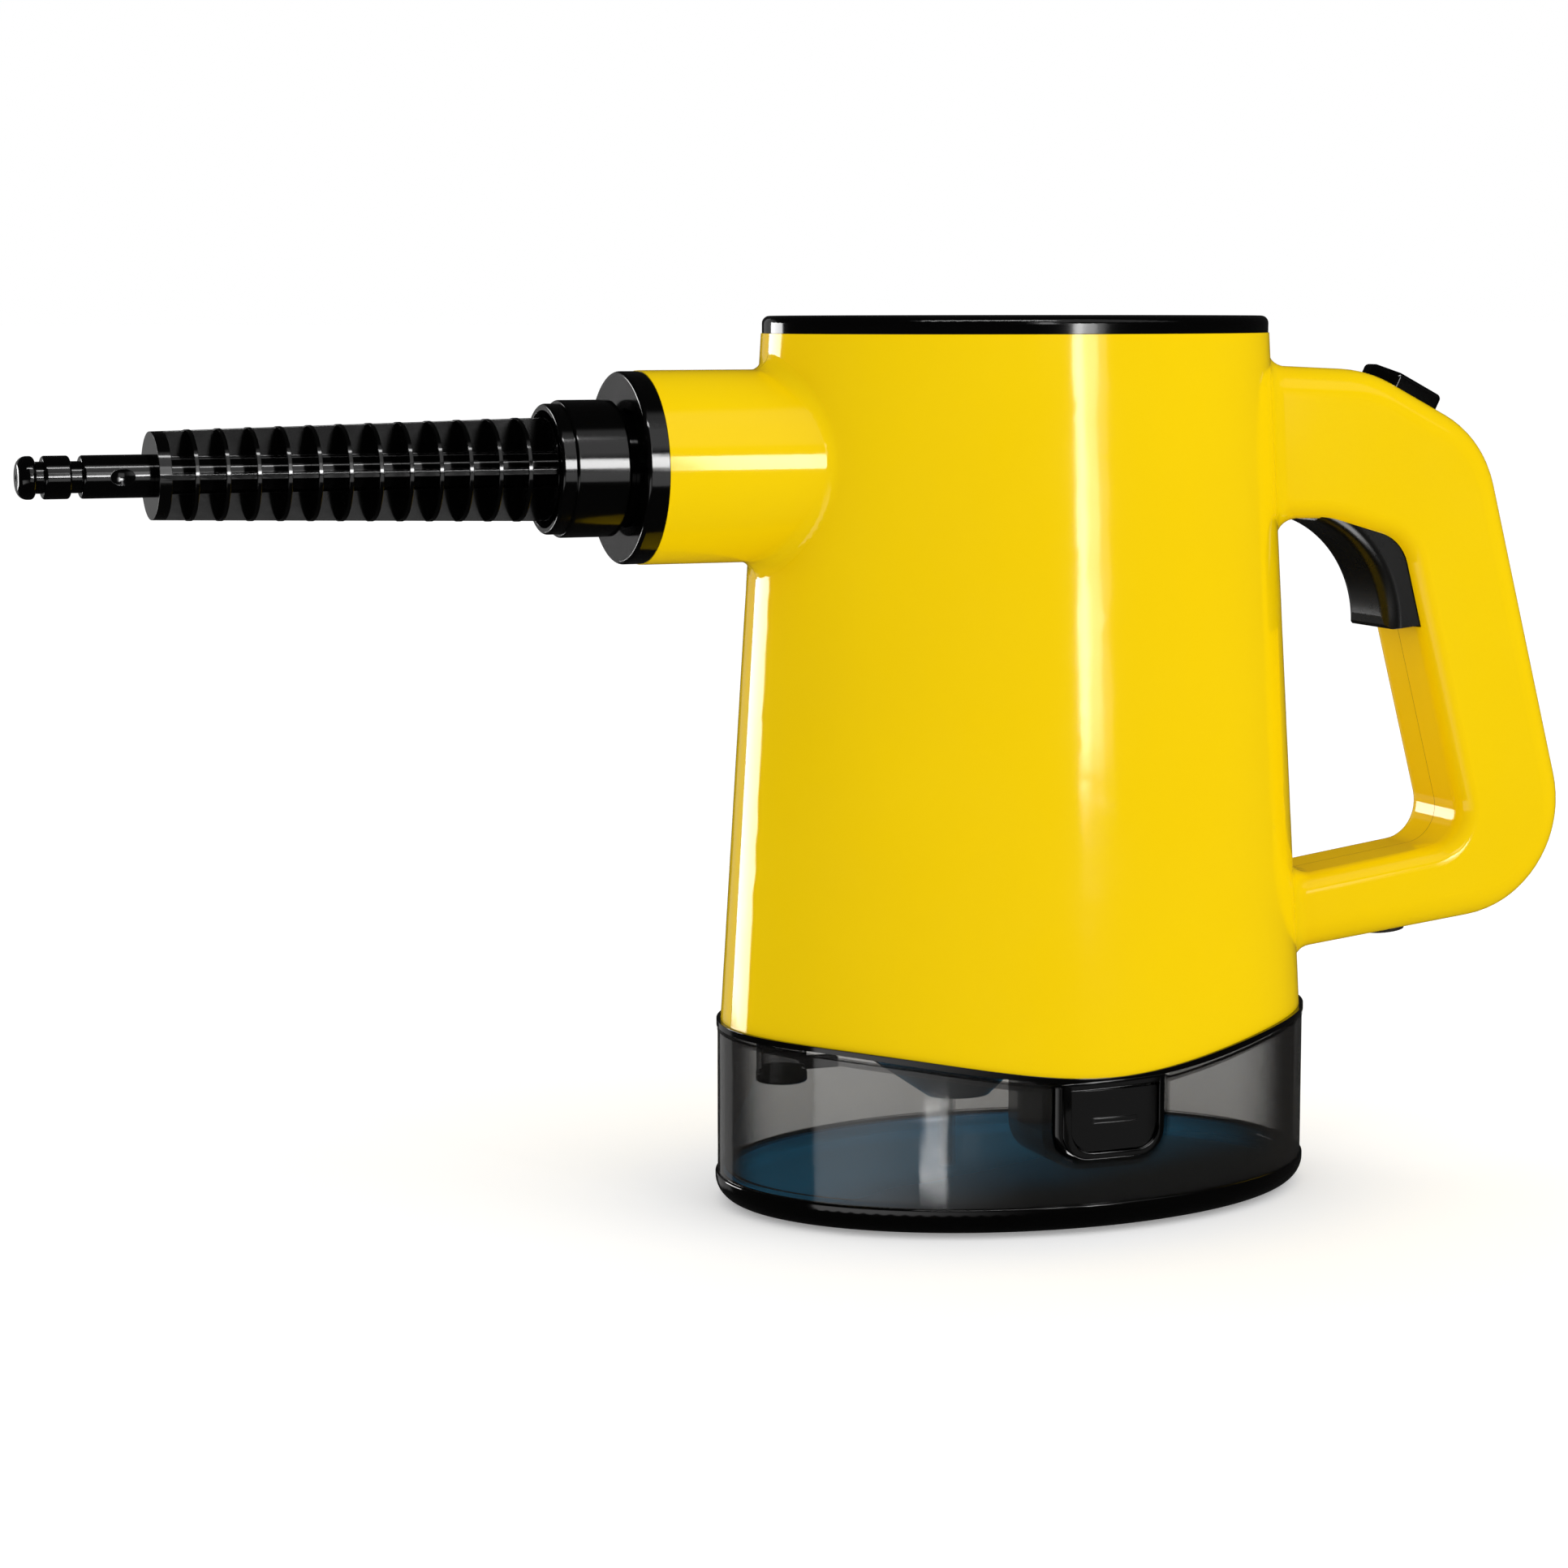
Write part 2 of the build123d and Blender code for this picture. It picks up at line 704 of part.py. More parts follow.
latch_front_wall = -half_width + 0.2 + latch_wall + 1.5      # inner face of the latch housing's front
button_flange = 0.8       # how far the latch button's flange overlaps its window
button_flange_back = latch_front_wall + play + 1.5
catch_front = striker_front + striker_thickness + striker_nose + play


def latch_housing():
    """Hollow block that hangs from the chassis inside the tank's pocket and guides the latch button."""
    body = latch_block(0, -reach, latch_back) & oval_block(0.2, 0, chassis_z)
    front = [edge for edge in body.edges() if (edge @ 0.5).Y < -half_width + 3 and (edge @ 0.5).Z < chassis_z - 1]
    body = fillet(front, latch_rounding)
    hollow = latch_block(-latch_wall, latch_front_wall, latch_back - latch_wall)
    hollow = hollow + latch_block(-latch_wall, latch_front_wall, latch_back - latch_wall).moved(
        Location((0, 0, latch_wall)))
    window = Pos(0, -reach / 2 + latch_front_wall + 1, 0) * side_block(latch_window(play, 4), reach / 2)
    slot = block(button_x - striker_half - pocket_play, button_x + striker_half + pocket_play,
                 striker_front - pocket_play, catch_front - play + pocket_play,
                 latch_bottom - 1, latch_bottom + latch_wall + 1)
    body = body - hollow - window - slot
    shelf = oval_block(-reach / 4, seam_low - skirt_height, plate_top + 1) - oval_block(
        tongue_inset + tongue_wall + fit, 0, plate_top + 2)
    return body - (shelf - below_seam(skirt_height))


def latch_button():
    """Push button with a grip bar, a retaining flange and a catch that reaches round the striker."""
    front = Pos(0, -reach / 2 + latch_front_wall + play, 0) * side_block(latch_window(0), reach / 2)
    plate = front & oval_block(0.5, 0, plate_top)
    flange_middle = button_flange_back - 0.75
    flange = Pos(0, flange_middle, 0) * side_block(latch_window(button_flange), 0.75)
    low, high = pocket_floor + striker_height - 8, pocket_floor + striker_height - 4.5
    catch_back = catch_front + catch_thickness
    inner, outer = striker_half + 1.2, striker_half + 1.2 + catch_thickness
    catch = block(button_x - outer, button_x + outer, catch_front, catch_back, low, high)
    for x0, x1 in ((-outer, -inner), (inner, outer)):
        catch = catch + block(button_x + x0, button_x + x1, button_flange_back - 0.5, catch_back, low, high)
    bar_z = (latch_button_top + latch_button_bottom) / 2
    bar = block(button_x - 7, button_x + 7, -half_width - 1, -half_width + 3, bar_z - 0.7, bar_z + 0.7)
    bar = bar & oval_block(0.0, 0, plate_top)
    return (plate + flange + catch + bar) & below_seam(skirt_height + play)


# ================================================================== water path
sump_x = -24.0            # centre of the hopper's mouth
sump_half_length = 40.5
sump_half_width = 30.0
sump_low = 30.2
sump_wall = 2.0
filter_z = 42.0
filter_thickness = 2.0
pickup_x = -22.0
pickup_radius = 2.5
pickup_low = 8.0


def hopper(shrink):
    """Tapered hopper form, from its small floor up to the chassis, shrunk by a wall."""
    top = Pos(sump_x, 0, chassis_z) * Ellipse(sump_half_length - shrink, sump_half_width - shrink)
    low = Pos(sump_x + 5.5, 0, sump_low + shrink) * Ellipse(10 - shrink, 8 - shrink)
    return loft([low, top], ruled=True)


def intake_sump():
    """Hopper under the chassis that collects water, with a duct to the pump and its outlet nipple."""
    duct = block(-10, pump_x + 8, -9, 9, chassis_z - 8, chassis_z)
    duct_space = block(-12, pump_x + 6, -7, 7, chassis_z - 6, chassis_z - 2)
    body = hopper(0) + duct
    lid_gap = block(-reach, reach, -reach, reach, chassis_z - 2, chassis_z)
    space = (hopper(sump_wall) - lid_gap) + duct_space
    nipple = round_z(nipple_radius, pump_x, 0, chassis_z - 1, plate_top + 7)
    body = body - space + nipple
    body = body - round_z(nipple_radius - 1.2, pump_x, 0, chassis_z - 3, plate_top + 8)
    return body - round_z(pickup_radius + fit, pickup_x, 0, pickup_low, sump_low + 6)


def pickup_tube():
    """Clear tube from the hopper down to the tank floor."""
    tube_block = round_z(pickup_radius, pickup_x, 0, pickup_low, sump_low + sump_wall + 1)
    return tube_block - round_z(pickup_radius - 0.9, pickup_x, 0, pickup_low - 1, sump_low + 5)


def water_filter():
    """Slotted filter plate that rests on the hopper's tapered wall."""
    top = filter_z + filter_thickness
    plate = hopper(sump_wall + fit) & block(-reach, reach, -reach, reach, filter_z, top)
    for step in (-1, 0, 1):
        x = sump_x + 3.0 + 7 * step
        plate = plate - block(x - 1.5, x + 1.5, -9, 9, filter_z - 1, top + 1)
    return plate


vent_x = -77.1
vent_radius = 7.6
vent_low = 38.7
vent_cap_height = 2.8


def vent_body():
    """Smoky vent cup at the nose end of the tank."""
    low = vent_low + vent_cap_height
    cup = round_z(vent_radius, vent_x, 0, low, chassis_z)
    return cup - round_z(vent_radius - 1.4, vent_x, 0, low - 1, chassis_z - 2)


def vent_cap():
    """Black cap on the vent cup's lower end."""
    high = vent_low + vent_cap_height
    cap = round_z(vent_radius + 0.2, vent_x, 0, vent_low, high)
    cap = fillet(cap.edges().group_by(Axis.Z)[0], 0.8)
    return cap + round_z(vent_radius - 1.4 - fit / 2, vent_x, 0, high - 0.1, high + 1.6)


def vent_spout():
    """Side outlet of the vent cup."""
    low = vent_low + vent_cap_height + 0.6
    arm = block(vent_x + vent_radius - 0.6, vent_x + 17.5, -2.6, 2.6, low, low + 3.2)
    arm = arm - round_z(vent_radius, vent_x, 0, low - 1, low + 5)
    return arm - round_x(0.9, vent_x, vent_x + 20, 0, low + 1.6)


def inlet_coupling():
    """Soft sleeve between the sump nipple and the pump's inlet."""
    return round_z(hose_radius + 0.5, pump_x, 0, plate_top + 2, plate_top + 12) - round_z(
        nipple_radius + fit / 2, pump_x, 0, plate_top, plate_top + 13)


pump_low = plate_top + 13.0


def pump_barrel():
    """Pump cylinder with an inlet nipple below and an outlet nipple above."""
    top = pump_low + pump_height + 14
    body = round_z(pump_barrel_radius, pump_x, 0, pump_low, top)
    body = body + round_z(nipple_radius, pump_x, 0, plate_top + 7.5, pump_low + 1)
    body = body + round_z(nipple_radius, pump_x, 0, top - 1, top + 9)
    body = body + round_z(pump_barrel_radius + 2, pump_x, 0, pump_low, pump_low + 4)
    return body - round_z(1.4, pump_x, 0, plate_top, top + 10)


def pump_coil():
    """Solenoid block round the pump barrel."""
    half = pump_box / 2
    coil = block(pump_x - half, pump_x + half, -half, half, pump_low + 6, pump_low + 6 + pump_height)
    coil = fillet(coil.edges().filter_by(Axis.Z), 3)
    return coil - round_z(pump_barrel_radius + fit / 2, pump_x, 0, pump_low, pump_low + 60)


def pump_mounts():
    """Rubber pads between pump and cradle."""
    half = pump_box / 2
    pads = [block(pump_x - 10, pump_x + 10, side * half, side * (half + 2), pump_low + 8, pump_low + 20)
            if side > 0 else
            block(pump_x - 10, pump_x + 10, -(half + 2), -half, pump_low + 8, pump_low + 20)
            for side in (-1, 1)]
    return Compound(pads)


def pump_cradle():
    """Bracket that stands on the chassis and holds the pump between its cheeks."""
    half = pump_box / 2 + 2
    cradle = block(pump_x - 15, pump_x + 15, -half - 2, half + 2, plate_top, plate_top + 2)
    for side in (-1, 1):
        y0, y1 = sorted((side * half, side * (half + 2)))
        cradle = cradle + block(pump_x - 12, pump_x + 12, y0, y1, plate_top, pump_low + 24)
    return cradle - round_z(hose_radius + 1.0, pump_x, 0, plate_top - 1, plate_top + 3)


def outlet_hose():
    """Silicone hose from the pump's outlet to the boiler's inlet."""
    start = pump_low + pump_height + 16
    inlet_z = boiler_z + 26
    points = [(pump_x, 0, start), (pump_x, 0, inlet_z), (boiler_x + boiler_radius + 2, 0, inlet_z)]
    return tube(points, hose_radius, nipple_radius + fit / 2, pipe_bend)


# ================================================================== boiler
flange_ring_radius = boiler_radius + 6.0
boiler_split = boiler_z + boiler_lower_height


def bolt_places():
    """Bolt circle of the boiler flange."""
    circle = boiler_radius + 2.8
    return [(boiler_x + circle * cos(radians(a)), circle * sin(radians(a))) for a in range(30, 390, 60)]


def with_bolt_holes(shape, low, high):
    """Cut the boiler's bolt holes through a shape."""
    for x, y in bolt_places():
        shape = shape - round_z(screw_radius + fit, x, y, low, high)
    return shape


def boiler_lower():
    """Cast lower half of the boiler with its flange and water inlet."""
    body = round_z(boiler_radius, boiler_x, 0, boiler_z, boiler_split)
    body = fillet(body.edges().group_by(Axis.Z)[0], 4)
    body = body + round_z(flange_ring_radius, boiler_x, 0, boiler_split - boiler_flange, boiler_split)
    inlet_z = boiler_z + 26
    body = body + round_x(nipple_radius, boiler_x, boiler_x + boiler_radius + 6, 0, inlet_z)
    cavity = round_z(boiler_radius - boiler_wall, boiler_x, 0, boiler_z + boiler_wall, boiler_split + 1)
    body = body - cavity - round_x(1.4, boiler_x, boiler_x + boiler_radius + 10, 0, inlet_z)
    return with_bolt_holes(body, boiler_split - boiler_flange - 1, boiler_split + 1)


def boiler_gasket():
    """Flat gasket between the boiler halves."""
    ring = round_z(flange_ring_radius, boiler_x, 0, boiler_split, boiler_split + gasket_thickness)
    ring = ring - round_z(boiler_radius - boiler_wall, boiler_x, 0, boiler_split - 1, boiler_split + 2)
    return with_bolt_holes(ring, boiler_split - 1, boiler_split + 2)


def boiler_upper():
    """Cast dome of the boiler with its steam outlet."""
    low = boiler_split + gasket_thickness
    top = low + boiler_upper_height
    body = round_z(boiler_radius, boiler_x, 0, low, top)
    body = fillet(body.edges().group_by(Axis.Z)[-1], 7)
    body = body + round_z(flange_ring_radius, boiler_x, 0, low, low + boiler_flange)
    cavity = round_z(boiler_radius - boiler_wall, boiler_x, 0, low - 1, top - boiler_wall)
    cavity = fillet(cavity.edges().group_by(Axis.Z)[-1], 4)
    body = body - cavity - round_z(steam_bore, steam_x, 0, top - 8, top + 1)
    return with_bolt_holes(body, low - 1, low + boiler_flange + 1)


steam_x = boiler_x - 17.0
boiler_top = boiler_split + gasket_thickness + boiler_upper_height


def boiler_bolts():
    """Bolts through the boiler flange."""
    length = 2 * boiler_flange + gasket_thickness + 2
    head_z = boiler_split + gasket_thickness + boiler_flange
    one = screw(screw_radius, length)
    return Compound([Pos(x, y, head_z) * one for x, y in bolt_places()])


def heating_element():
    """Tubular heater wrapped round the lower half, with two terminal ends."""
    ring_radius = boiler_radius + 3.3
    z = boiler_z + 12
    ring = Pos(boiler_x, 0, z) * Torus(ring_radius, 3.0)
    gap = block(boiler_x - 60, boiler_x, -7, 7, z - 10, z + 10)
    ring = ring - gap
    for side in (-1, 1):
        x = boiler_x - sqrt((ring_radius + 0.7) ** 2 - 9 ** 2)
        ring = ring + round_z(3.6, x, side * 9, z - 16, z + 4)
    return ring


def boiler_bracket():
    """Sheet bracket across the casing that carries the boiler."""
    low = boiler_z - 4 - bracket_thickness
    plate = block(boiler_x - 15, boiler_x + 15, -half_width, half_width, low, low + bracket_thickness)
    return plate & casing_form(casing_wall + 0.4, low - 5, low + 5)


def boiler_spacers():
    """Ceramic spacers between bracket and boiler."""
    places = [(boiler_x + 9, -12), (boiler_x + 9, 12), (boiler_x - 11, 0)]
    return Compound([round_z(4, x, y, boiler_z - 4, boiler_z) for x, y in places])


def thermostat():
    """Bimetal thermostat on the boiler's top."""
    x = boiler_x + 8
    can = round_z(8, x, 0, boiler_top, boiler_top + 5) + round_z(9.5, x, 0, boiler_top, boiler_top + 1)
    return can + block(x - 4.5, x - 3.7, -3, 3, boiler_top + 4, boiler_top + 12) + block(
        x + 3.7, x + 4.5, -3, 3, boiler_top + 4, boiler_top + 12)


def thermal_fuse():
    """Thermal fuse in its clip on the boiler's side."""
    y = -(boiler_radius + 2.4)
    z = boiler_z + 34
    fuse = round_z(2.2, boiler_x, y, z - 7, z + 7)
    return fuse + block(boiler_x - 3.4, boiler_x + 3.4, y, -boiler_radius + 0.6, z - 3, z + 3) - round_z(
        boiler_radius, boiler_x, 0, z - 20, z + 20)


def steam_union():
    """Brass union nut on the steam outlet."""
    nut = Pos(steam_x, 0, boiler_top) * extrude(RegularPolygon(6.0, 6), 7)
    return nut - round_z(pipe_radius + fit / 2, steam_x, 0, boiler_top - 1, boiler_top + 8)


def steam_pipe():
    """Metal pipe from the boiler's outlet to the nozzle socket."""
    end = flange_face + socket_depth + 5
    points = [(steam_x, 0, boiler_top + 1), (steam_x, 0, nozzle_z), (end, 0, nozzle_z)]
    return tube(points, pipe_radius, pipe_radius - 0.8, pipe_bend)


# ================================================================== nozzle socket
def flange_ring():
    """Black ring that closes the spout's front."""
    ring = round_x(flange_radius, flange_face, spout_front)
    ring = fillet(ring.edges().group_by(Axis.X)[0], flange_rounding)
    return ring - round_x(neck_radius + neck_step + fit, flange_face - 1, spout_front + 1)


def nozzle_socket():
    """Socket for the nozzle: neck with bayonet lugs, bore, web and steam inlet."""
    front = flange_face - neck_length
    rear = flange_face + socket_depth
    body = round_x(neck_radius, front, spout_front)
    body = body + round_x(neck_radius + neck_step, flange_face - 1.2, spout_front)
    body = body + round_x(socket_bore + socket_wall, front, rear + 3)
    body = body + round_x(spout_radius - casing_wall - fit, spout_front, spout_front + 8)
    body = body - (round_x(spout_radius - casing_wall - fit - 2.5, spout_front + 2.5, spout_front + 9)
                   - round_x(socket_bore + socket_wall, spout_front, spout_front + 9))
    body = body + sector_ring(neck_radius + lug_height, neck_radius - 1, front, front + lug_length, 90)
    body = body - round_x(socket_bore, front - 1, rear)
    body = body + round_x(5.0, rear + 2, rear + 11) - round_x(pipe_radius + fit / 2, rear + 4, rear + 12)
    return body - round_x(steam_bore, rear - 1, rear + 5)


# ================================================================== nozzle
tip_end = flange_face - nozzle_length
cone_front = tip_end + tip_length
collar_back = flange_face - collar_gap
collar_front = collar_back - collar_length
core_back = flange_face - neck_length - play
spigot_end = flange_face + 16
ring_groove = core_back - 2.6


def cone_radius(x):
    """Radius of the nozzle's fins and discs at x."""
    share = (x - cone_front) / (collar_front - cone_front)
    return cone_front_radius + (cone_back_radius - cone_front_radius) * min(max(share, 0), 1)


def nozzle_core():
    """Core tube with four cooling fins, cooling discs, the spigot and its grooves."""
    core = round_x(core_tube_radius, cone_front, core_back)
    envelope = loft([Plane.YZ.offset(x) * Pos(0, nozzle_z) * Circle(cone_radius(x))
                     for x in (cone_front, collar_front)], ruled=True)
    cross = block(cone_front, collar_front, -fin_thickness / 2, fin_thickness / 2,
                  nozzle_z - collar_radius, nozzle_z + collar_radius)
    cross = cross + block(cone_front, collar_front, -collar_radius, collar_radius,
                          nozzle_z - fin_thickness / 2, nozzle_z + fin_thickness / 2)
    core = core + (cross & envelope)
    pitch = (collar_front - cone_front - front_disc_thickness) / (disc_count + 0.76)
    for step in range(disc_count):
        x = cone_front + front_disc_thickness + (step + disc_lead) * pitch
        rim = cone_radius(x + disc_thickness / 2) + disc_proud
        core = core + round_x(rim, x - disc_thickness / 2, x + disc_thickness / 2)
    core = core + round_x(cone_front_radius, cone_front, cone_front + front_disc_thickness)
    core = core + round_x(cone_back_radius, collar_front - 0.1, core_back)
    core = core - (round_x(cone_back_radius + 1, ring_groove - 0.8, ring_groove + 0.8)
                   - round_x(cone_back_radius - 1.6, ring_groove - 1, ring_groove + 1))
    spigot = round_x(socket_bore - play, core_back - 1, spigot_end)
    seal_x = spigot_end - 5
    spigot = spigot - (round_x(socket_bore, seal_x - 1.3, seal_x + 1.3)
                       - round_x(socket_bore - 2.2, seal_x - 2, seal_x + 2))
    core = core + spigot + round_x(4.0, cone_front - 9, cone_front + 1)
    return core - round_x(steam_bore, cone_front - 10, spigot_end + 1)


def nozzle_seal():
    """O-ring on the nozzle's spigot."""
    return Pos(spigot_end - 5, 0, nozzle_z) * Rot(0, 90, 0) * Torus(socket_bore - 1.2, 0.95)


def retaining_ring():
    """Split ring that holds the collar on the core."""
    ring = round_x(cone_back_radius + 2, ring_groove - 0.7, ring_groove + 0.7)
    ring = ring - round_x(cone_back_radius - 1.4, ring_groove - 1, ring_groove + 1)
    return ring - block(ring_groove - 2, ring_groove + 2, -2, 2, nozzle_z, nozzle_z + collar_radius)


def nozzle_collar():
    """Turning bayonet collar with three inner lugs."""
    lip_end = collar_front + collar_lip
    body = round_x(collar_radius, lip_end, collar_back)
    body = fillet(body.edges(), 0.6)
    lip = round_x(collar_radius - collar_lip_step, collar_front, lip_end + 1)
    lip = fillet(lip.edges().group_by(Axis.X)[0], 0.8)
    body = body + lip
    rings = ((collar_front - 0.1, cone_back_radius + 2.2), (lip_end, cone_back_radius + turning_play))
    mouth = loft([Plane.YZ.offset(x) * Pos(0, nozzle_z) * Circle(r) for x, r in rings], ruled=True)
    body = body - mouth - round_x(cone_back_radius + turning_play, collar_front, collar_back)
    cavity_radius = neck_radius + lug_height + play
    body = body - round_x(cavity_radius, ring_groove - 1.2, collar_back + 1)
    lug_x = flange_face - neck_length + lug_length + 2 * play
    start = 90 + 180 / lug_count
    return body + sector_ring(cavity_radius + 1, neck_radius + play, lug_x, lug_x + lug_length, start)


def nozzle_tip():
    """Tip tube with two grooves, a rounded cap, a side dimple and the steam outlet."""
    x = tip_end
    body = round_x(tip_radius, x + tip_body_start, cone_front)
    body = fillet(body.edges().group_by(Axis.X)[0], 0.8)
    band = round_x(tip_radius, x + tip_band_start, x + tip_band_end)
    body = body + fillet(band.edges().group_by(Axis.X)[0] + band.edges().group_by(Axis.X)[-1], 0.8)
    body = body + round_x(tip_radius - tip_groove_depth, x + tip_cap_length / 2, x + tip_body_start + 1)
    cap = round_x(tip_radius, x, x + tip_cap_length)
    cap = fillet(cap.edges().group_by(Axis.X)[-1], 1.2)
    body = body + fillet(cap.edges().group_by(Axis.X)[0], 3.0)
    body = body - round_x(4.05, cone_front - 9.5, cone_front + 1)
    body = body - round_x(steam_bore, x + 3, cone_front)
    body = body - round_x(1.0, x - 1, x + 4)
    hollow_y = -tip_radius - tip_dimple_radius + tip_dimple_depth
    dimple = Pos(x + tip_dimple_at, hollow_y, nozzle_z) * Sphere(tip_dimple_radius)
    return body - dimple


# ================================================================== trigger, switch, electrics
def trigger():
    """Finger trigger with a hollow front, hung on its pivot hub."""
    px, pz = trigger_pivot()
    body = side_block(trigger_face(), trigger_width / 2)
    tip_x, top_z, low_z, grip_x = trigger_frame()
    chosen = []
    for edge in body.edges():
        middle = edge @ 0.5
        on_side = abs(abs(middle.Y) - trigger_width / 2) < 0.01
        in_front = middle.X < grip_x - 1 and tip_x + 1 < middle.X and middle.Z < top_z - 3
        if on_side and in_front and edge.length > 5 and middle.Z > low_z + 3:
            chosen.append(edge)
    body = fillet(chosen, trigger_rounding)
    body = body + round_y(hub_radius, px, pz, -trigger_width / 2, trigger_width / 2)
    return body - round_y(pin_radius + pin_play, px, pz, -trigger_width, trigger_width)


def trigger_pin():
    """Pivot pin, its ends in the shells."""
    px, pz = trigger_pivot()
    half = grip_width / 2 - casing_wall + 1.1
    return round_y(pin_radius, px, pz, -half, half)


def trigger_spring():
    """Compression spring between the trigger's back and its shelf."""
    px, pz = trigger_pivot()
    x, low, high = px + 10, pz - 3.2, pz + 9.0
    turns = Helix(pitch=2.6, height=high - low - 1.0, radius=3.4, center=(x, 0, low + 0.5))
    section = Plane(origin=turns @ 0, z_dir=turns % 0) * Circle(0.45)
    return sweep(section, path=turns)


def switch_button():
    """Push button on the handle's shoulder with its stem into the switch."""
    frame = switch_frame()
    top = Pos(0, 0, -button_skirt) * extrude(button_outline(0), button_skirt + button_height)
    top = fillet(top.edges().group_by(Axis.Z)[-1], button_rounding)
    stem = Pos(0, 0, -button_skirt - 4.5) * Cylinder(2.4, 9.2)
    return frame * (top + stem)


def power_switch():
    """Mains switch under the button, held between ribs of the shells."""
    frame = switch_frame()
    top = -(button_skirt + button_travel + 2.0)
    body = Pos(0, 0, top - switch_depth / 2) * Box(switch_length, switch_width, switch_depth)
    body = body - Pos(0, 0, top - 4.5) * Cylinder(2.4 + play, 9.5)
    for y in (-5, 5):
        body = body + Pos(4, y, top - switch_depth - 2.5) * Box(0.8, 4.8, 5.2)
    return frame * body


def microswitch():
    """Microswitch that the trigger works, on its two pins."""
    x, z = micro_place()
    body = block(x, x + 10, -3.2, 3.2, z - 10, z + 10)
    for step in (-5, 5):
        body = body - round_y(1.2 + fit, x + 6, z + step, -4, 4)
    body = body + block(x - 1.2, x + 1, -1.2, 1.2, z + 3, z + 5)
    for step in (-7, 0, 7):
        body = body + block(x + 9, x + 14, -0.4, 0.4, z + step - 1.5, z + step + 1.5)
    return body


def cable_gland():
    """Flush rubber gland for the mains lead in the underside of the lower arm."""
    body = Pos(0, 0, 2.6) * Cylinder(gland_radius, 7.2)
    body = body + Pos(0, 0, -1.0) * Cylinder(gland_radius + 1.3, 1.4)
    body = body + Pos(0, 0, casing_wall + 1.2) * Cylinder(gland_radius + 1.3, 1.6)
    return gland_frame() * (body - Cylinder(3.2, 40))


def control_board():
    """Circuit board on two posts that stand on the chassis."""
    y = -34.0
    board = block(-38, 22, y, y + 1.6, plate_top + 5, plate_top + 47)
    for x in (-32, 16):
        board = board + block(x - 4, x + 4, y - 4, y, plate_top, plate_top + 12)
        board = board + block(x - 4, x + 4, y, y + 1.6, plate_top + 2, plate_top + 6)
    return board


def board_relay():
    """Relay on the circuit board."""
    return block(-34, -16, -32.4, -18, plate_top + 14, plate_top + 29)


def board_transformer():
    """Small transformer on the circuit board."""
    return block(-6, 14, -32.4, -16.4, plate_top + 9, plate_top + 31)


def board_capacitors():
    """Round capacitors on the circuit board."""
    return Compound([round_y(4.5, x, plate_top + 39, -32.4, -20) for x in (-28, -15, -2)])


def main():
    """Write every sub-part of the steamer."""
    os.makedirs("parts", exist_ok=True)
    left, right = casing_shells()
    save("left_shell", largest(left))
    save("right_shell", largest(right))
    save("top_cover", top_cover())
    for maker in (tank_tub, tank_boot, boot_sole, chassis, tank_seal, latch_housing, latch_button,
                  intake_sump, pickup_tube, water_filter, vent_body, vent_cap, vent_spout, inlet_coupling,
                  pump_barrel, pump_coil, pump_mounts, pump_cradle, outlet_hose, boiler_lower, boiler_gasket,
                  boiler_upper, boiler_bolts, heating_element, boiler_bracket, boiler_spacers, thermostat,
                  thermal_fuse, steam_union, steam_pipe, flange_ring, nozzle_socket, nozzle_core, nozzle_seal,
                  retaining_ring, nozzle_collar, nozzle_tip, trigger, trigger_pin, trigger_spring,
                  switch_button, power_switch, microswitch, cable_gland, control_board, board_relay,
                  board_transformer, board_capacitors, shell_screws, chassis_screws):
        save(maker.__name__, maker())


main()
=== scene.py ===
"""Looks of a hand-held electric steamer: gloss yellow shells, black fittings and a smoke-tinted tank."""
import json
import math

import bpy
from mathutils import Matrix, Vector

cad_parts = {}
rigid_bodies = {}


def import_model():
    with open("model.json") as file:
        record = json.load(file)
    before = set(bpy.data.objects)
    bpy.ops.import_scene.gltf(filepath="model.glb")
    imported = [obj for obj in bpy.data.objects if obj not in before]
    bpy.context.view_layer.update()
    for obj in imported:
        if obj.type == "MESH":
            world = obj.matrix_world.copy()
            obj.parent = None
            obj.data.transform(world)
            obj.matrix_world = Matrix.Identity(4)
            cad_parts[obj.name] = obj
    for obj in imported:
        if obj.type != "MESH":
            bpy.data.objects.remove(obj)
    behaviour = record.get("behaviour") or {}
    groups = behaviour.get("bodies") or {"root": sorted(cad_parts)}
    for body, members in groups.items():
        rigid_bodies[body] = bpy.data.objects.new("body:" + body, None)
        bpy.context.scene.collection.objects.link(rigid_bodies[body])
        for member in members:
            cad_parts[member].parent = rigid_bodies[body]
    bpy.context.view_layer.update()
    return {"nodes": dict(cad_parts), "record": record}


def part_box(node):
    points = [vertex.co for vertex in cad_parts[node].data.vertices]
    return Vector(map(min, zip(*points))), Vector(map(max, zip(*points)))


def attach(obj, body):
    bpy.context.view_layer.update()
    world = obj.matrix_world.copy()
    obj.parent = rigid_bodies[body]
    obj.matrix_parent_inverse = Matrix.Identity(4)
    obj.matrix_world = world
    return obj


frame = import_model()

NODES = frame["nodes"]
scene = bpy.context.scene
MM = 0.001


# ------------------------------------------------------------------ nodes and colours
def colour(code):
    """Linear colour of an sRGB hex value."""
    parts = [int(code[i:i + 2], 16) / 255 for i in (1, 3, 5)]
    return tuple(p / 12.92 if p <= 0.04045 else ((p + 0.055) / 1.055) ** 2.4 for p in parts) + (1.0,)


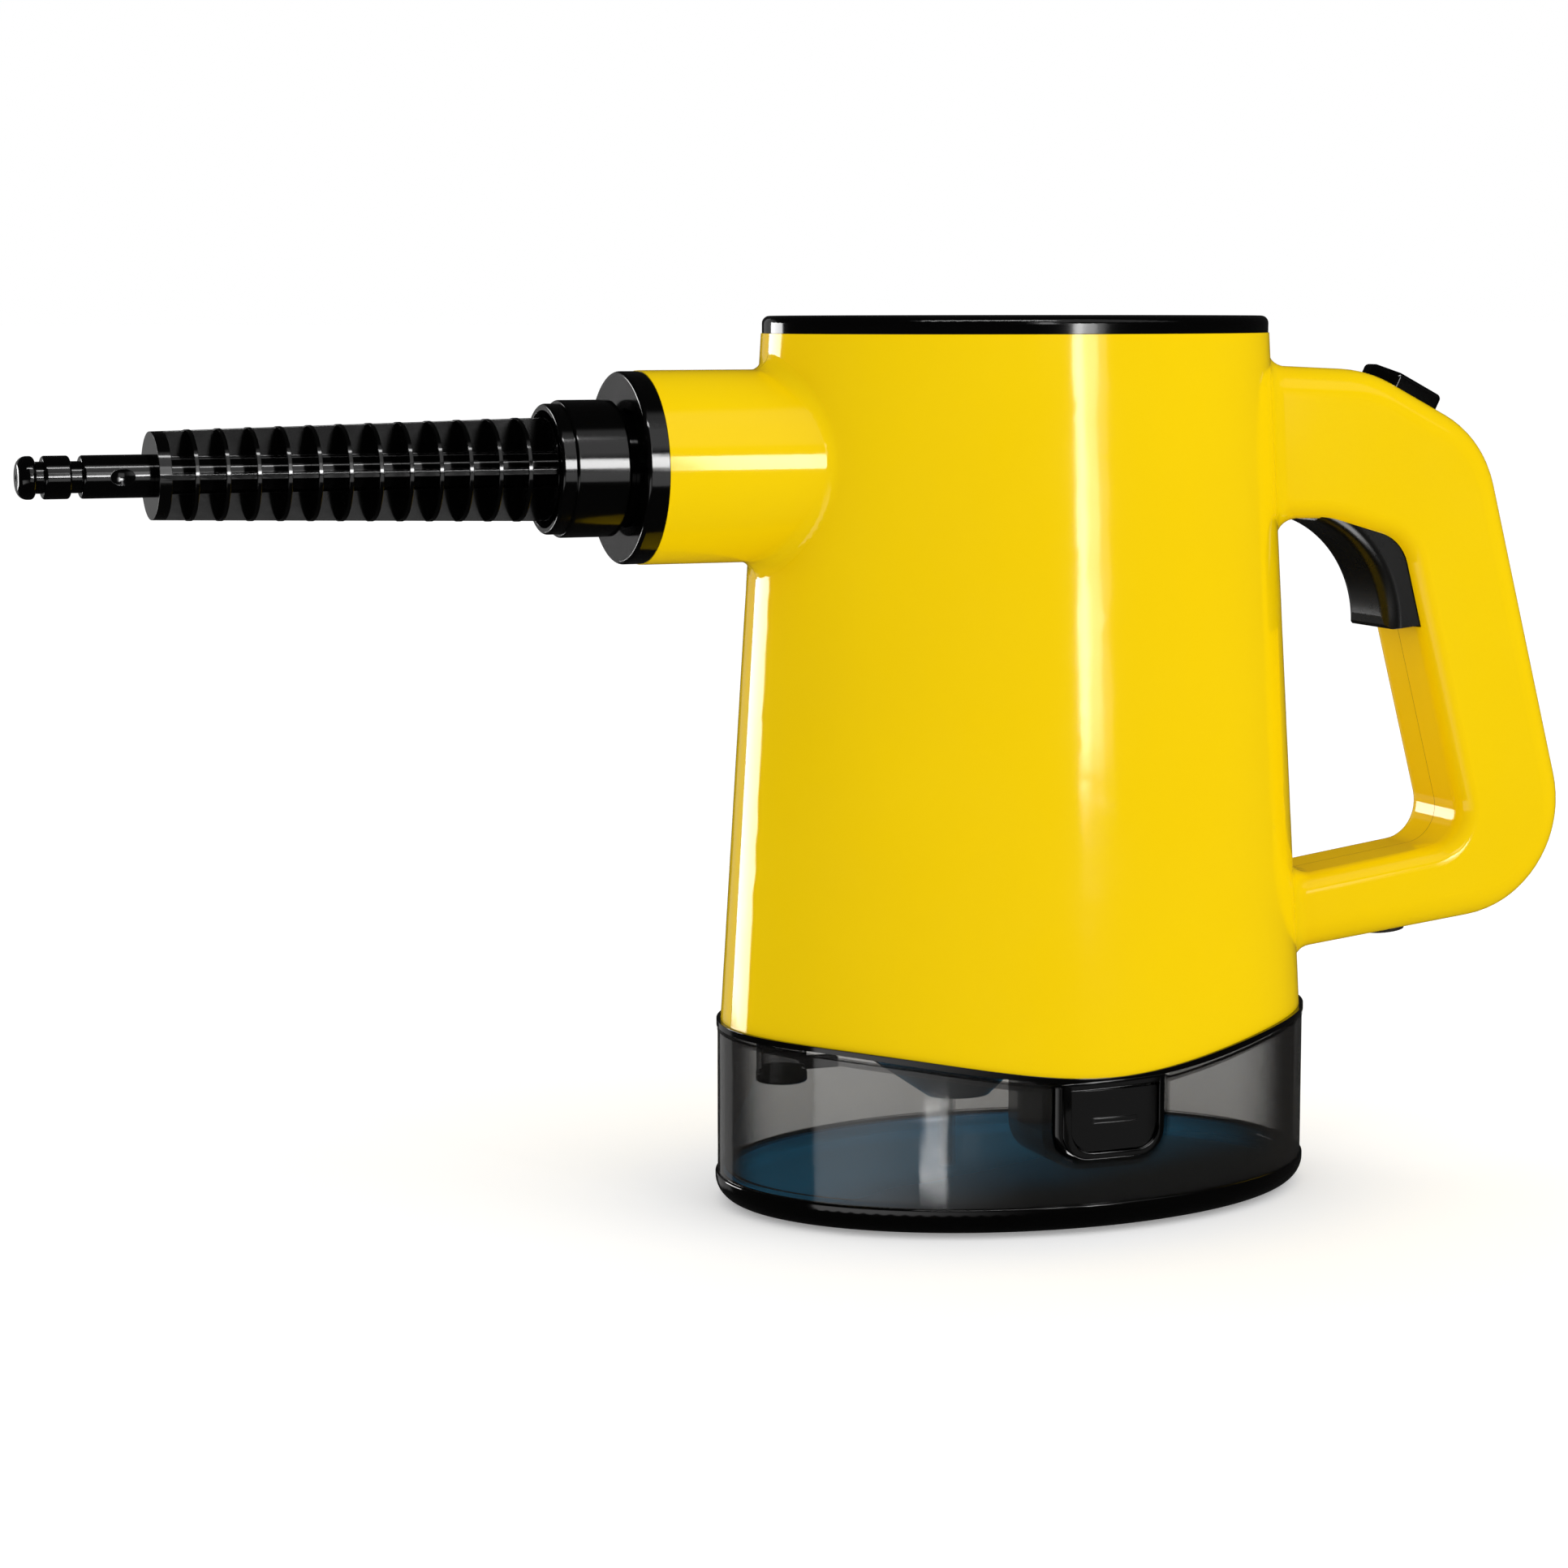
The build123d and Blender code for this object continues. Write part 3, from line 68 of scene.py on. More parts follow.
def add(tree, kind, settings=None, links=None):
    """Add a node. Its settings are properties or input values, its links say what feeds an input."""
    node = tree.nodes.new("ShaderNode" + kind)
    for key, value in (settings or {}).items():
        if isinstance(key, str) and hasattr(node, key):
            setattr(node, key, value)
        else:
            node.inputs[key].default_value = value
    for key, source in (links or {}).items():
        tree.links.new(source, node.inputs[key])
    return node


def begin(name):
    """A new finish: its material, its tree, its shader and the place on the piece that patterns read."""
    material = bpy.data.materials.new(name)
    material.use_nodes = True
    tree = material.node_tree
    tree.nodes.clear()
    shader = add(tree, "BsdfPrincipled")
    add(tree, "OutputMaterial", None, {"Surface": shader.outputs["BSDF"]})
    return material, tree, shader, add(tree, "TexCoord").outputs["Object"]


def fix(shader, values):
    """Set what is the same all over the surface on the shader's own sockets."""
    for name, value in values.items():
        shader.inputs[name].default_value = value


def per_metre(millimetres):
    """Scale of a pattern whose features are this far apart."""
    return 1.0 / (millimetres * MM)


SMOOTH = {"interpolation_type": "SMOOTHSTEP"}
FALLING = {"To Min": 1.0, "To Max": 0.0}


# ------------------------------------------------------------------ finishes
def moulded(name, base, flow, gloss, dull, grain_mm, grain_um, edge_mm=0.0, fixed=None):
    """Injection-moulded plastic or rubber. The tone drifts from base to flow where the melt ran, the
    roughness wanders from gloss to dull with handling, the tool leaves a grain this wide and this deep,
    and an edge radius of a few tenths catches a thin line of light."""
    material, tree, shader, place = begin(name)
    melt = add(tree, "TexNoise", {"Scale": per_metre(70), "Detail": 4.0}, {"Vector": place})
    front = add(tree, "MapRange", {**SMOOTH, "From Min": 0.3, "From Max": 0.7},
                {"Value": melt.outputs["Fac"]})
    tone = add(tree, "Mix", {"data_type": "RGBA", 6: colour(base), 7: colour(flow)},
               {"Factor": front.outputs[0]})
    tree.links.new(tone.outputs[2], shader.inputs["Base Color"])
    touch = add(tree, "TexNoise", {"Scale": per_metre(24), "Detail": 5.0, "Roughness": 0.6},
                {"Vector": place})
    sheen = add(tree, "MapRange", {"From Min": 0.25, "From Max": 0.75, "To Min": gloss, "To Max": dull},
                {"Value": touch.outputs["Fac"]})
    tree.links.new(sheen.outputs[0], shader.inputs["Roughness"])
    grain = add(tree, "TexNoise", {"Scale": per_metre(grain_mm), "Detail": 2.0}, {"Vector": place})
    relief = add(tree, "Bump", {"Strength": 0.2, "Distance": grain_um * 1e-6},
                 {"Height": grain.outputs["Fac"]})
    if edge_mm:
        rounded = add(tree, "Bevel", {"samples": 6, "Radius": edge_mm * MM})
        tree.links.new(rounded.outputs[0], relief.inputs["Normal"])
    tree.links.new(relief.outputs[0], shader.inputs["Normal"])
    fix(shader, fixed or {})
    return material


def worked_metal(name, base, bloom, bright, dull, grain_mm, along=(1.0, 1.0, 1.0)):
    """Cast, drawn or pressed metal: patches of bloom and a fine grain that runs with the working."""
    material, tree, shader, place = begin(name)
    patches = add(tree, "TexNoise", {"Scale": per_metre(40), "Detail": 5.0, "Roughness": 0.6},
                  {"Vector": place})
    worn = add(tree, "MapRange", {**SMOOTH, "From Min": 0.3, "From Max": 0.7},
               {"Value": patches.outputs["Fac"]})
    tone = add(tree, "Mix", {"data_type": "RGBA", 6: colour(base), 7: colour(bloom)},
               {"Factor": worn.outputs[0]})
    tree.links.new(tone.outputs[2], shader.inputs["Base Color"])
    run = add(tree, "Mapping", {"Scale": along}, {"Vector": place})
    grain = add(tree, "TexNoise", {"Scale": per_metre(grain_mm), "Detail": 4.0}, {"Vector": run.outputs[0]})
    sheen = add(tree, "MapRange", {"From Min": 0.3, "From Max": 0.7, "To Min": bright, "To Max": dull},
                {"Value": grain.outputs["Fac"]})
    tree.links.new(sheen.outputs[0], shader.inputs["Roughness"])
    relief = add(tree, "Bump", {"Strength": 0.2, "Distance": 0.00003}, {"Height": grain.outputs["Fac"]})
    tree.links.new(relief.outputs[0], shader.inputs["Normal"])
    fix(shader, {"Metallic": 1.0})
    return material


def gloss_yellow_abs():
    """Gloss ABS from a polished tool: clean reflections with a faint orange peel of about 5 mm, an even
    strong yellow, and a hairline where the two shells meet."""
    material, tree, shader, place = begin("gloss_yellow_abs")
    melt = add(tree, "TexNoise", {"Scale": per_metre(140), "Detail": 4.0}, {"Vector": place})
    front = add(tree, "MapRange", {**SMOOTH, "From Min": 0.3, "From Max": 0.7},
                {"Value": melt.outputs["Fac"]})
    tone = add(tree, "Mix", {"data_type": "RGBA", 6: colour("#F7CF05"), 7: colour("#FAD305")},
               {"Factor": front.outputs[0]})
    sides = add(tree, "SeparateXYZ", None, {0: place})
    off_joint = add(tree, "Math", {"operation": "ABSOLUTE"}, {0: sides.outputs["Y"]})
    joint = add(tree, "MapRange", {**SMOOTH, **FALLING, "From Min": 0.04 * MM, "From Max": 0.18 * MM},
                {"Value": off_joint.outputs[0]})
    body = add(tree, "Mix", {"data_type": "RGBA", 7: colour("#9E7F08")},
               {"Factor": joint.outputs[0], 6: tone.outputs[2]})
    tree.links.new(body.outputs[2], shader.inputs["Base Color"])
    touch = add(tree, "TexNoise", {"Scale": per_metre(25), "Detail": 5.0, "Roughness": 0.6},
                {"Vector": place})
    sheen = add(tree, "MapRange", {"From Min": 0.25, "From Max": 0.75, "To Min": 0.07, "To Max": 0.105},
                {"Value": touch.outputs["Fac"]})
    tree.links.new(sheen.outputs[0], shader.inputs["Roughness"])
    peel = add(tree, "TexNoise", {"Scale": per_metre(5), "Detail": 2.0}, {"Vector": place})
    ripple = add(tree, "Bump", {"Strength": 0.05, "Distance": 0.00006}, {"Height": peel.outputs["Fac"]})
    groove = add(tree, "Bump", {"Strength": 0.6, "Distance": -0.0001},
                 {"Height": joint.outputs[0], "Normal": ripple.outputs[0]})
    tree.links.new(groove.outputs[0], shader.inputs["Normal"])
    fix(shader, {"IOR": 1.5, "Specular Tint": colour("#FFF6DC")})
    return material


def smoked_polycarbonate():
    """Smoke-tinted clear polycarbonate, moulded: glossy see-through walls that look deeper where they
    turn away, a blue painted floor carrying painted shade that darkens it to near black towards the front,
    faint lime marks and fine scuffs."""
    material, tree, shader, place = begin("smoked_polycarbonate")
    sides = add(tree, "SeparateXYZ", None, {0: place})
    # The paint runs up the foot of the wall and stops just under the boot's rim.
    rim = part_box("tank_boot")[1][2]
    floor_paint = add(tree, "MapRange",
                      {**SMOOTH, **FALLING, "From Min": rim - 0.8 * MM, "From Max": rim - 0.3 * MM},
                      {"Value": sides.outputs["Z"]})
    # The floor paint is blue at the back and towards the spout. Towards the front, under the latch, it
    # carries painted shade that turns it nearly black.
    slant = add(tree, "Math", {"operation": "MULTIPLY", 1: -0.35}, {0: sides.outputs["X"]})
    depth = add(tree, "Math", {"operation": "ADD"}, {0: sides.outputs["Y"], 1: slant.outputs[0]})
    cloud = add(tree, "TexNoise", {"Scale": per_metre(60), "Detail": 2.0}, {"Vector": place})
    drifted = add(tree, "Math", {"operation": "MULTIPLY_ADD", 1: 30 * MM},
                  {0: cloud.outputs["Fac"], 2: depth.outputs[0]})
    painted_shade_falloff = add(tree, "MapRange", {**SMOOTH, "From Min": -22 * MM, "From Max": 45 * MM},
                   {"Value": drifted.outputs[0]})
    paint = add(tree, "Mix", {"data_type": "RGBA", 6: colour("#1B2023"), 7: colour("#3B93BC")},
                {"Factor": painted_shade_falloff.outputs[0]})
    streaks = add(tree, "TexNoise", {"Scale": per_metre(90), "Detail": 4.0}, {"Vector": place})
    smoke = add(tree, "Mix", {"data_type": "RGBA", 6: colour("#1B1A19"), 7: colour("#1F1E1C")},
                {"Factor": streaks.outputs["Fac"]})
    tone = add(tree, "Mix", {"data_type": "RGBA"},
               {"Factor": floor_paint.outputs[0], 6: smoke.outputs[2], 7: paint.outputs[2]})
    tree.links.new(tone.outputs[2], shader.inputs["Base Color"])
    scuffs = add(tree, "TexNoise", {"Scale": per_metre(17), "Detail": 5.0, "Roughness": 0.6},
                 {"Vector": place})
    sheen = add(tree, "MapRange", {"From Min": 0.3, "From Max": 0.75, "To Min": 0.04, "To Max": 0.08},
                {"Value": scuffs.outputs["Fac"]})
    tree.links.new(sheen.outputs[0], shader.inputs["Roughness"])
    edge_on = add(tree, "LayerWeight", {"Blend": 0.5})
    density = add(tree, "MapRange",
                  {**SMOOTH, "From Min": 0.35, "From Max": 0.75, "To Min": 0.37, "To Max": 0.9},
                  {"Value": edge_on.outputs["Facing"]})
    solid = add(tree, "Math", {"operation": "MAXIMUM"},
                {0: floor_paint.outputs[0], 1: density.outputs[0]})
    tree.links.new(solid.outputs[0], shader.inputs["Alpha"])
    lime = add(tree, "TexVoronoi", {"Scale": per_metre(4)}, {"Vector": place})
    marks = add(tree, "MapRange", {**SMOOTH, **FALLING, "From Max": 0.09},
                {"Value": lime.outputs["Distance"]})
    relief = add(tree, "Bump", {"Strength": 0.04, "Distance": 0.00003}, {"Height": marks.outputs[0]})
    tree.links.new(relief.outputs[0], shader.inputs["Normal"])
    fix(shader, {"IOR": 1.59, "Specular IOR Level": 0.8})
    return material


def two_shot_nylon():
    """Black nylon floor of the housing. Its skirt is black for a millimetre and a bit under the shells
    and runs out in a second, smoke-tinted shot that forms the lip inside the tank. The line between the
    two shots rises with the shells' wavy edge, and stays under the plate."""
    middle_line, end_line, plate_line = 45.2 * MM, 54.8 * MM, 54.2 * MM
    material, tree, shader, place = begin("two_shot_nylon")
    sides = add(tree, "SeparateXYZ", None, {0: place})
    along = add(tree, "Math", {"operation": "ABSOLUTE"}, {0: sides.outputs["X"]})
    low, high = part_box("tank_tub")
    seam = add(tree, "MapRange", {**SMOOTH, "From Max": (high[0] - low[0]) / 2,
                                  "To Min": middle_line, "To Max": end_line}, {"Value": along.outputs[0]})
    under_plate = add(tree, "Math", {"operation": "MINIMUM", 1: plate_line}, {0: seam.outputs[0]})
    tinted = add(tree, "Math", {"operation": "LESS_THAN"},
                 {0: sides.outputs["Z"], 1: under_plate.outputs[0]})
    tone = add(tree, "Mix", {"data_type": "RGBA", 6: colour("#030303"), 7: colour("#1B1A19")},
               {"Factor": tinted.outputs[0]})
    tree.links.new(tone.outputs[2], shader.inputs["Base Color"])
    clear = add(tree, "MapRange", {"To Min": 1.0, "To Max": 0.2}, {"Value": tinted.outputs[0]})
    tree.links.new(clear.outputs[0], shader.inputs["Alpha"])
    touch = add(tree, "TexNoise", {"Scale": per_metre(24), "Detail": 5.0, "Roughness": 0.6},
                {"Vector": place})
    sheen = add(tree, "MapRange", {"From Min": 0.25, "From Max": 0.75, "To Min": 0.07, "To Max": 0.12},
                {"Value": touch.outputs["Fac"]})
    tree.links.new(sheen.outputs[0], shader.inputs["Roughness"])
    rounded = add(tree, "Bevel", {"samples": 6, "Radius": 0.3 * MM})
    tree.links.new(rounded.outputs[0], shader.inputs["Normal"])
    fix(shader, {"IOR": 1.5})
    return material


def smoked_silicone():
    """Smoke-tinted silicone seal: a soft dark shade behind the tank's wall, with a waxy face."""
    material, tree, shader, place = begin("smoked_silicone")
    cloud = add(tree, "TexNoise", {"Scale": per_metre(20), "Detail": 3.0}, {"Vector": place})
    tone = add(tree, "Mix", {"data_type": "RGBA", 6: colour("#2A2927"), 7: colour("#34322F")},
               {"Factor": cloud.outputs["Fac"]})
    tree.links.new(tone.outputs[2], shader.inputs["Base Color"])
    sheen = add(tree, "MapRange", {"From Min": 0.3, "From Max": 0.7, "To Min": 0.3, "To Max": 0.45},
                {"Value": cloud.outputs["Fac"]})
    tree.links.new(sheen.outputs[0], shader.inputs["Roughness"])
    fix(shader, {"Alpha": 0.25, "IOR": 1.41})
    return material


def clear_vinyl():
    """Soft clear vinyl tube: watery, slightly clouded, with small ripples from the extruder."""
    material, tree, shader, place = begin("clear_vinyl")
    cloud = add(tree, "TexNoise", {"Scale": per_metre(33), "Detail": 3.0}, {"Vector": place})
    tone = add(tree, "Mix", {"data_type": "RGBA", 6: colour("#7C7E81"), 7: colour("#8B8D90")},
               {"Factor": cloud.outputs["Fac"]})
    tree.links.new(tone.outputs[2], shader.inputs["Base Color"])
    sheen = add(tree, "MapRange", {"From Min": 0.3, "From Max": 0.7, "To Min": 0.08, "To Max": 0.16},
                {"Value": cloud.outputs["Fac"]})
    tree.links.new(sheen.outputs[0], shader.inputs["Roughness"])
    ripple = add(tree, "TexNoise", {"Scale": per_metre(3)}, {"Vector": place})
    relief = add(tree, "Bump", {"Strength": 0.06, "Distance": 0.00003}, {"Height": ripple.outputs["Fac"]})
    tree.links.new(relief.outputs[0], shader.inputs["Normal"])
    fix(shader, {"Alpha": 0.16, "IOR": 1.45})
    return material


def circuit_board():
    """Glass-epoxy board under green solder mask. The copper tracks, about 2.6 mm apart, show paler."""
    material, tree, shader, place = begin("circuit_board")
    tracks = add(tree, "TexVoronoi", {"Scale": per_metre(2.6), "Randomness": 0.35}, {"Vector": place})
    mask = add(tree, "MapRange", {**SMOOTH, "From Min": 0.3, "From Max": 0.36},
               {"Value": tracks.outputs["Distance"]})
    tone = add(tree, "Mix", {"data_type": "RGBA", 6: colour("#26683F"), 7: colour("#40864F")},
               {"Factor": mask.outputs[0]})
    tree.links.new(tone.outputs[2], shader.inputs["Base Color"])
    sheen = add(tree, "MapRange", {"To Min": 0.42, "To Max": 0.28}, {"Value": mask.outputs[0]})
    tree.links.new(sheen.outputs[0], shader.inputs["Roughness"])
    relief = add(tree, "Bump", {"Strength": 0.3, "Distance": 0.00004}, {"Height": mask.outputs[0]})
    tree.links.new(relief.outputs[0], shader.inputs["Normal"])
    return material


FINISHES = {
    "yellow_shell": gloss_yellow_abs(),
    "smoky_tank": smoked_polycarbonate(),
    "clear_plastic": clear_vinyl(),
    "board_green": circuit_board(),
    # Glass-filled nylon, polished tool: deep black that shows only what it mirrors.
    "gloss_black": moulded("gloss_black_nylon", "#020202", "#030303", 0.08, 0.12, 4, 40, 0.3,
                           {"IOR": 1.5}),
    # Satin ABS of the trigger and switch: the grip grain is finer than can be seen and drawn at 0.8 mm.
    "satin_black": moulded("satin_black_abs", "#070707", "#0A0A0A", 0.24, 0.32, 0.8, 30, 0.35,
                           {"IOR": 1.5, "Specular IOR Level": 0.32}),
    # Nitrile rubber: matt, a little dusty.
    "black_rubber": moulded("nitrile_rubber", "#1B1B1B", "#262626", 0.55, 0.75, 0.6, 60),
    # Cured silicone: pale, waxy.
    "pale_silicone": moulded("silicone_hose", "#CFCBC3", "#DAD6CE", 0.35, 0.5, 1.1, 20),
    # Mineral-filled nylon of the pump.
    "grey_plastic": moulded("grey_nylon", "#7C7C7E", "#898989", 0.35, 0.47, 1.1, 20),
    # Varnished orange coil former.
    "coil_plastic": moulded("coil_varnish", "#BC6F38", "#C87C3F", 0.3, 0.4, 0.7, 30),
    # Natural polypropylene.
    "white_plastic": moulded("natural_polypropylene", "#DADAD7", "#E4E4E1", 0.3, 0.42, 1.1, 20),
    # Blue relay case.
    "blue_plastic": moulded("relay_case", "#3261AD", "#3B6CBC", 0.28, 0.38, 1.1, 20),
    "cast_aluminium": worked_metal("cast_aluminium", "#C5C5C6", "#D4D4D5", 0.38, 0.58, 1.1),
    "steel": worked_metal("rolled_steel", "#BCBCBF", "#CECECF", 0.2, 0.35, 1.7, (1.0, 1.0, 8.0)),
    "brass": worked_metal("turned_brass", "#CEAD6C", "#DCBF7C", 0.22, 0.37, 1.7),
}
SLOT_OF = {part["node"]: part["material_slot"] for part in frame["record"]["subparts"]}
for name, node in NODES.items():
    node.data.materials.clear()
    node.data.materials.append(FINISHES[SLOT_OF[name]])
NODES["chassis"].data.materials[0] = two_shot_nylon()
NODES["tank_seal"].data.materials[0] = smoked_silicone()


# ------------------------------------------------------------------ pieces
FLANK = 67.5  # half-width of the tank's wall in mm


def flank_block(name, left, right, low, high_left, high_right, corner):
    """Upright block through the tank's flank, its lower corners rounded and its top edge slanted."""
    bpy.ops.object.select_all(action="DESELECT")
    middle = ((left + right) / 2 * MM, -FLANK * MM, (low + high_left) / 2 * MM)
    bpy.ops.mesh.primitive_cube_add(size=1.0, location=middle)
    block = bpy.context.object
    block.name = name
    block.scale = ((right - left) * MM, 8 * MM, (high_left - low) * MM)
    bpy.ops.object.transform_apply(location=True, rotation=True, scale=True)
    bpy.ops.object.mode_set(mode="EDIT")
    bpy.ops.mesh.select_mode(type="EDGE")
    bpy.ops.mesh.select_all(action="DESELECT")
    bpy.ops.object.mode_set(mode="OBJECT")
    for edge in block.data.edges:
        a, b = (block.data.vertices[i].co for i in edge.vertices)
        edge.select = a.z < middle[2] and b.z < middle[2] and abs(a.x - b.x) < MM
    bpy.ops.object.mode_set(mode="EDIT")
    bpy.ops.mesh.bevel(offset=corner * MM, segments=10, affect="EDGES")
    bpy.ops.mesh.select_mode(type="VERT")
    bpy.ops.mesh.select_all(action="DESELECT")
    bpy.ops.object.mode_set(mode="OBJECT")
    for vertex in block.data.vertices:
        vertex.select = vertex.co.z > middle[2] and vertex.co.x > middle[0]
    bpy.ops.object.mode_set(mode="EDIT")
    bpy.ops.transform.translate(value=(0, 0, (high_right - high_left) * MM))
    bpy.ops.object.mode_set(mode="OBJECT")
    return block


def cut(piece, tool, operation):
    """Shape a piece by another solid, which is used up."""
    bpy.ops.object.select_all(action="DESELECT")
    bpy.context.view_layer.objects.active = piece
    piece.select_set(True)
    step = piece.modifiers.new("cut", "BOOLEAN")
    step.operation = operation
    step.solver = "EXACT"
    step.object = tool
    bpy.ops.object.modifier_apply(modifier=step.name)
    bpy.data.objects.remove(tool)


def flank_form(proud):
    """Oval that stands this far proud of the tank's wall."""
    bpy.ops.object.select_all(action="DESELECT")
    low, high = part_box("tank_tub")
    half_length = (high[0] - low[0]) / 2 + proud * MM
    bpy.ops.mesh.primitive_cylinder_add(vertices=720, radius=1.0, depth=0.1,
                                        location=((low[0] + high[0]) / 2, 0, 0.05))
    form = bpy.context.object
    form.scale = (half_length, (FLANK + proud) * MM, 1.0)
    bpy.ops.object.transform_apply(location=True, rotation=True, scale=True)
    return form


def latch_bezel():
    """Raised frame round the latch button. It bows with the tank's flank and laps over the black skirt."""
    bezel = flank_block("latch_bezel", -14.7, 18.6, 22.5, 45.4, 46.2, 8.0)
    cut(bezel, flank_block("window", -12.15, 16.85, 24.4, 43.3, 43.9, 7.0), "DIFFERENCE")
    cut(bezel, flank_form(0.62), "INTERSECT")
    step = bezel.modifiers.new("worn edges", "BEVEL")
    step.width = 0.55 * MM
    step.segments = 3
    step.limit_method = "ANGLE"
    step.angle_limit = math.radians(40)
    bpy.ops.object.modifier_apply(modifier=step.name)
    bpy.ops.object.shade_smooth_by_angle(angle=math.radians(35))
    bezel.data.materials.clear()
    bezel.data.materials.append(FINISHES["gloss_black"])
    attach(bezel, "housing")
    return bezel


BEZEL = latch_bezel()


# ------------------------------------------------------------------ stage
AIM = Vector((0.0, 0.0, 0.17))  # what the lamps point at
DOME = 14.0  # radius of the cloth round the set


def seen_by_rays(tree, strength, base=0.0):
    """A strength that camera, mirror and glass rays see on top of the base that lights the object."""
    path = add(tree, "LightPath")
    either = add(tree, "Math", {"operation": "MAXIMUM"},
                 {0: path.outputs["Is Camera Ray"], 1: path.outputs["Is Glossy Ray"]})
    any_of = add(tree, "Math", {"operation": "MAXIMUM"},
                 {0: either.outputs[0], 1: path.outputs["Is Transmission Ray"]})
    total = add(tree, "Math", {"operation": "MULTIPLY_ADD", 1: strength, 2: base}, {0: any_of.outputs[0]})
    return total.outputs[0]


def white_paper():
    """Plain white paper a hair under the sole that reaches the horizon: matt fibre, faintly cloudy."""
    bpy.ops.mesh.primitive_plane_add(size=80.0, location=(0, 0, -0.2 * MM))
    sheet = bpy.context.object
    sheet.name = "white_paper"
    bpy.ops.object.transform_apply(location=True, rotation=True, scale=True)
    material, tree, shader, place = begin("white_paper")
    cloud = add(tree, "TexNoise", {"Scale": per_metre(650), "Detail": 3.0}, {"Vector": place})
    tone = add(tree, "Mix", {"data_type": "RGBA", 6: colour("#F7F7F7"), 7: colour("#F4F4F4")},
               {"Factor": cloud.outputs["Fac"]})
    tree.links.new(tone.outputs[2], shader.inputs["Base Color"])
    fix(shader, {"Roughness": 0.9, "Specular IOR Level": 0.0, "Emission Color": colour("#FFFFFF")})
    tree.links.new(seen_by_rays(tree, 0.26), shader.inputs["Emission Strength"])
    sheet.data.materials.append(material)
    sheet.visible_glossy = False


# Cards on the cloth, all angles in degrees: azimuths from the front and how softly each end fades,
# elevations and their fade, brightness. An azimuth of -180 has no end there.
CARDS = (
    ((-180, -148), (0.5, 5), (-20, 22), 5, 0.28),
    ((-78, 10), (2, 70), (-24, -7), 2, 1.4),
    ((8, 62), (6, 6), (22, 66), 6, 0.5),
)
CLOTH = 0.018  # brightness of the bare cloth


def dark_cloth():
    """Dark cloth round the set with paler cards, which only mirrors see: it keeps the black parts black."""
    bpy.ops.mesh.primitive_uv_sphere_add(segments=48, ring_count=32, radius=DOME)
    dome = bpy.context.object
    dome.name = "dark_cloth"
    material, tree, shader, place = begin("dark_cloth")
    sides = add(tree, "SeparateXYZ", None, {0: place})
    ahead = add(tree, "Math", {"operation": "MULTIPLY", 1: -1.0}, {0: sides.outputs["Y"]})
    turn = add(tree, "Math", {"operation": "ARCTAN2"}, {0: sides.outputs["X"], 1: ahead.outputs[0]})
    rise = add(tree, "Math", {"operation": "DIVIDE", 1: DOME}, {0: sides.outputs["Z"]})
    tilt = add(tree, "Math", {"operation": "ARCSINE"}, {0: rise.outputs[0]})
    glow = add(tree, "Math", {"operation": "ADD", 0: CLOTH, 1: 0.0}).outputs[0]
    for azimuths, azimuth_fades, elevations, fade, brightness in CARDS:
        ends = [(turn, azimuths[0], azimuth_fades[0], {}), (turn, azimuths[1], -azimuth_fades[1], FALLING),
                (tilt, elevations[0], fade, {}), (tilt, elevations[1], -fade, FALLING)]
        shape = None
        for angle, end, inwards, slope in ends:
            if end <= -180:
                continue
            start, stop = sorted((end, end + inwards))
            side = add(tree, "MapRange", {**SMOOTH, **slope, "From Min": math.radians(start),
                                          "From Max": math.radians(stop)}, {"Value": angle.outputs[0]})
            if shape is None:
                shape = side.outputs[0]
            else:
                both = add(tree, "Math", {"operation": "MULTIPLY"}, {0: shape, 1: side.outputs[0]})
                shape = both.outputs[0]
        lifted = add(tree, "Math", {"operation": "MULTIPLY_ADD", 1: brightness}, {0: shape, 2: glow})
        glow = lifted.outputs[0]
    fix(shader, {"Base Color": colour("#000000"), "Specular IOR Level": 0.0, "Roughness": 1.0,
                 "Emission Color": colour("#FFFFFF")})
    tree.links.new(glow, shader.inputs["Emission Strength"])
    material.cycles.emission_sampling = "NONE"
    dome.data.materials.append(material)
    dome.visible_camera = False
    dome.visible_diffuse = False
    dome.visible_transmission = False
    dome.visible_shadow = False


def group(name, pieces):
    """The only pieces that a lamp lights, or the only ones that shade it."""
    collection = bpy.data.collections.new(name)
    for piece in pieces:
        collection.objects.link(piece)
    return collection


CORE_PIECES = group("core_pieces", [NODES["nozzle_core"], NODES["nozzle_tip"]])
COLLAR_PIECES = group("collar_pieces", [NODES["nozzle_collar"], NODES["flange_ring"]])
NOZZLE_PIECES = group("nozzle_pieces", [*CORE_PIECES.objects, *COLLAR_PIECES.objects])
LATCH_PIECES = group("latch_pieces", [BEZEL, NODES["latch_button"], NODES["latch_housing"],
                                      NODES["switch_button"], NODES["trigger"]])
BLACK_PIECES = group("black_pieces", [BEZEL, *(node for name, node in NODES.items()
                                               if SLOT_OF[name] in ("gloss_black", "satin_black"))])
TANK = group("tank", [NODES["tank_tub"]])
SOLE = group("sole", [NODES["boot_sole"]])


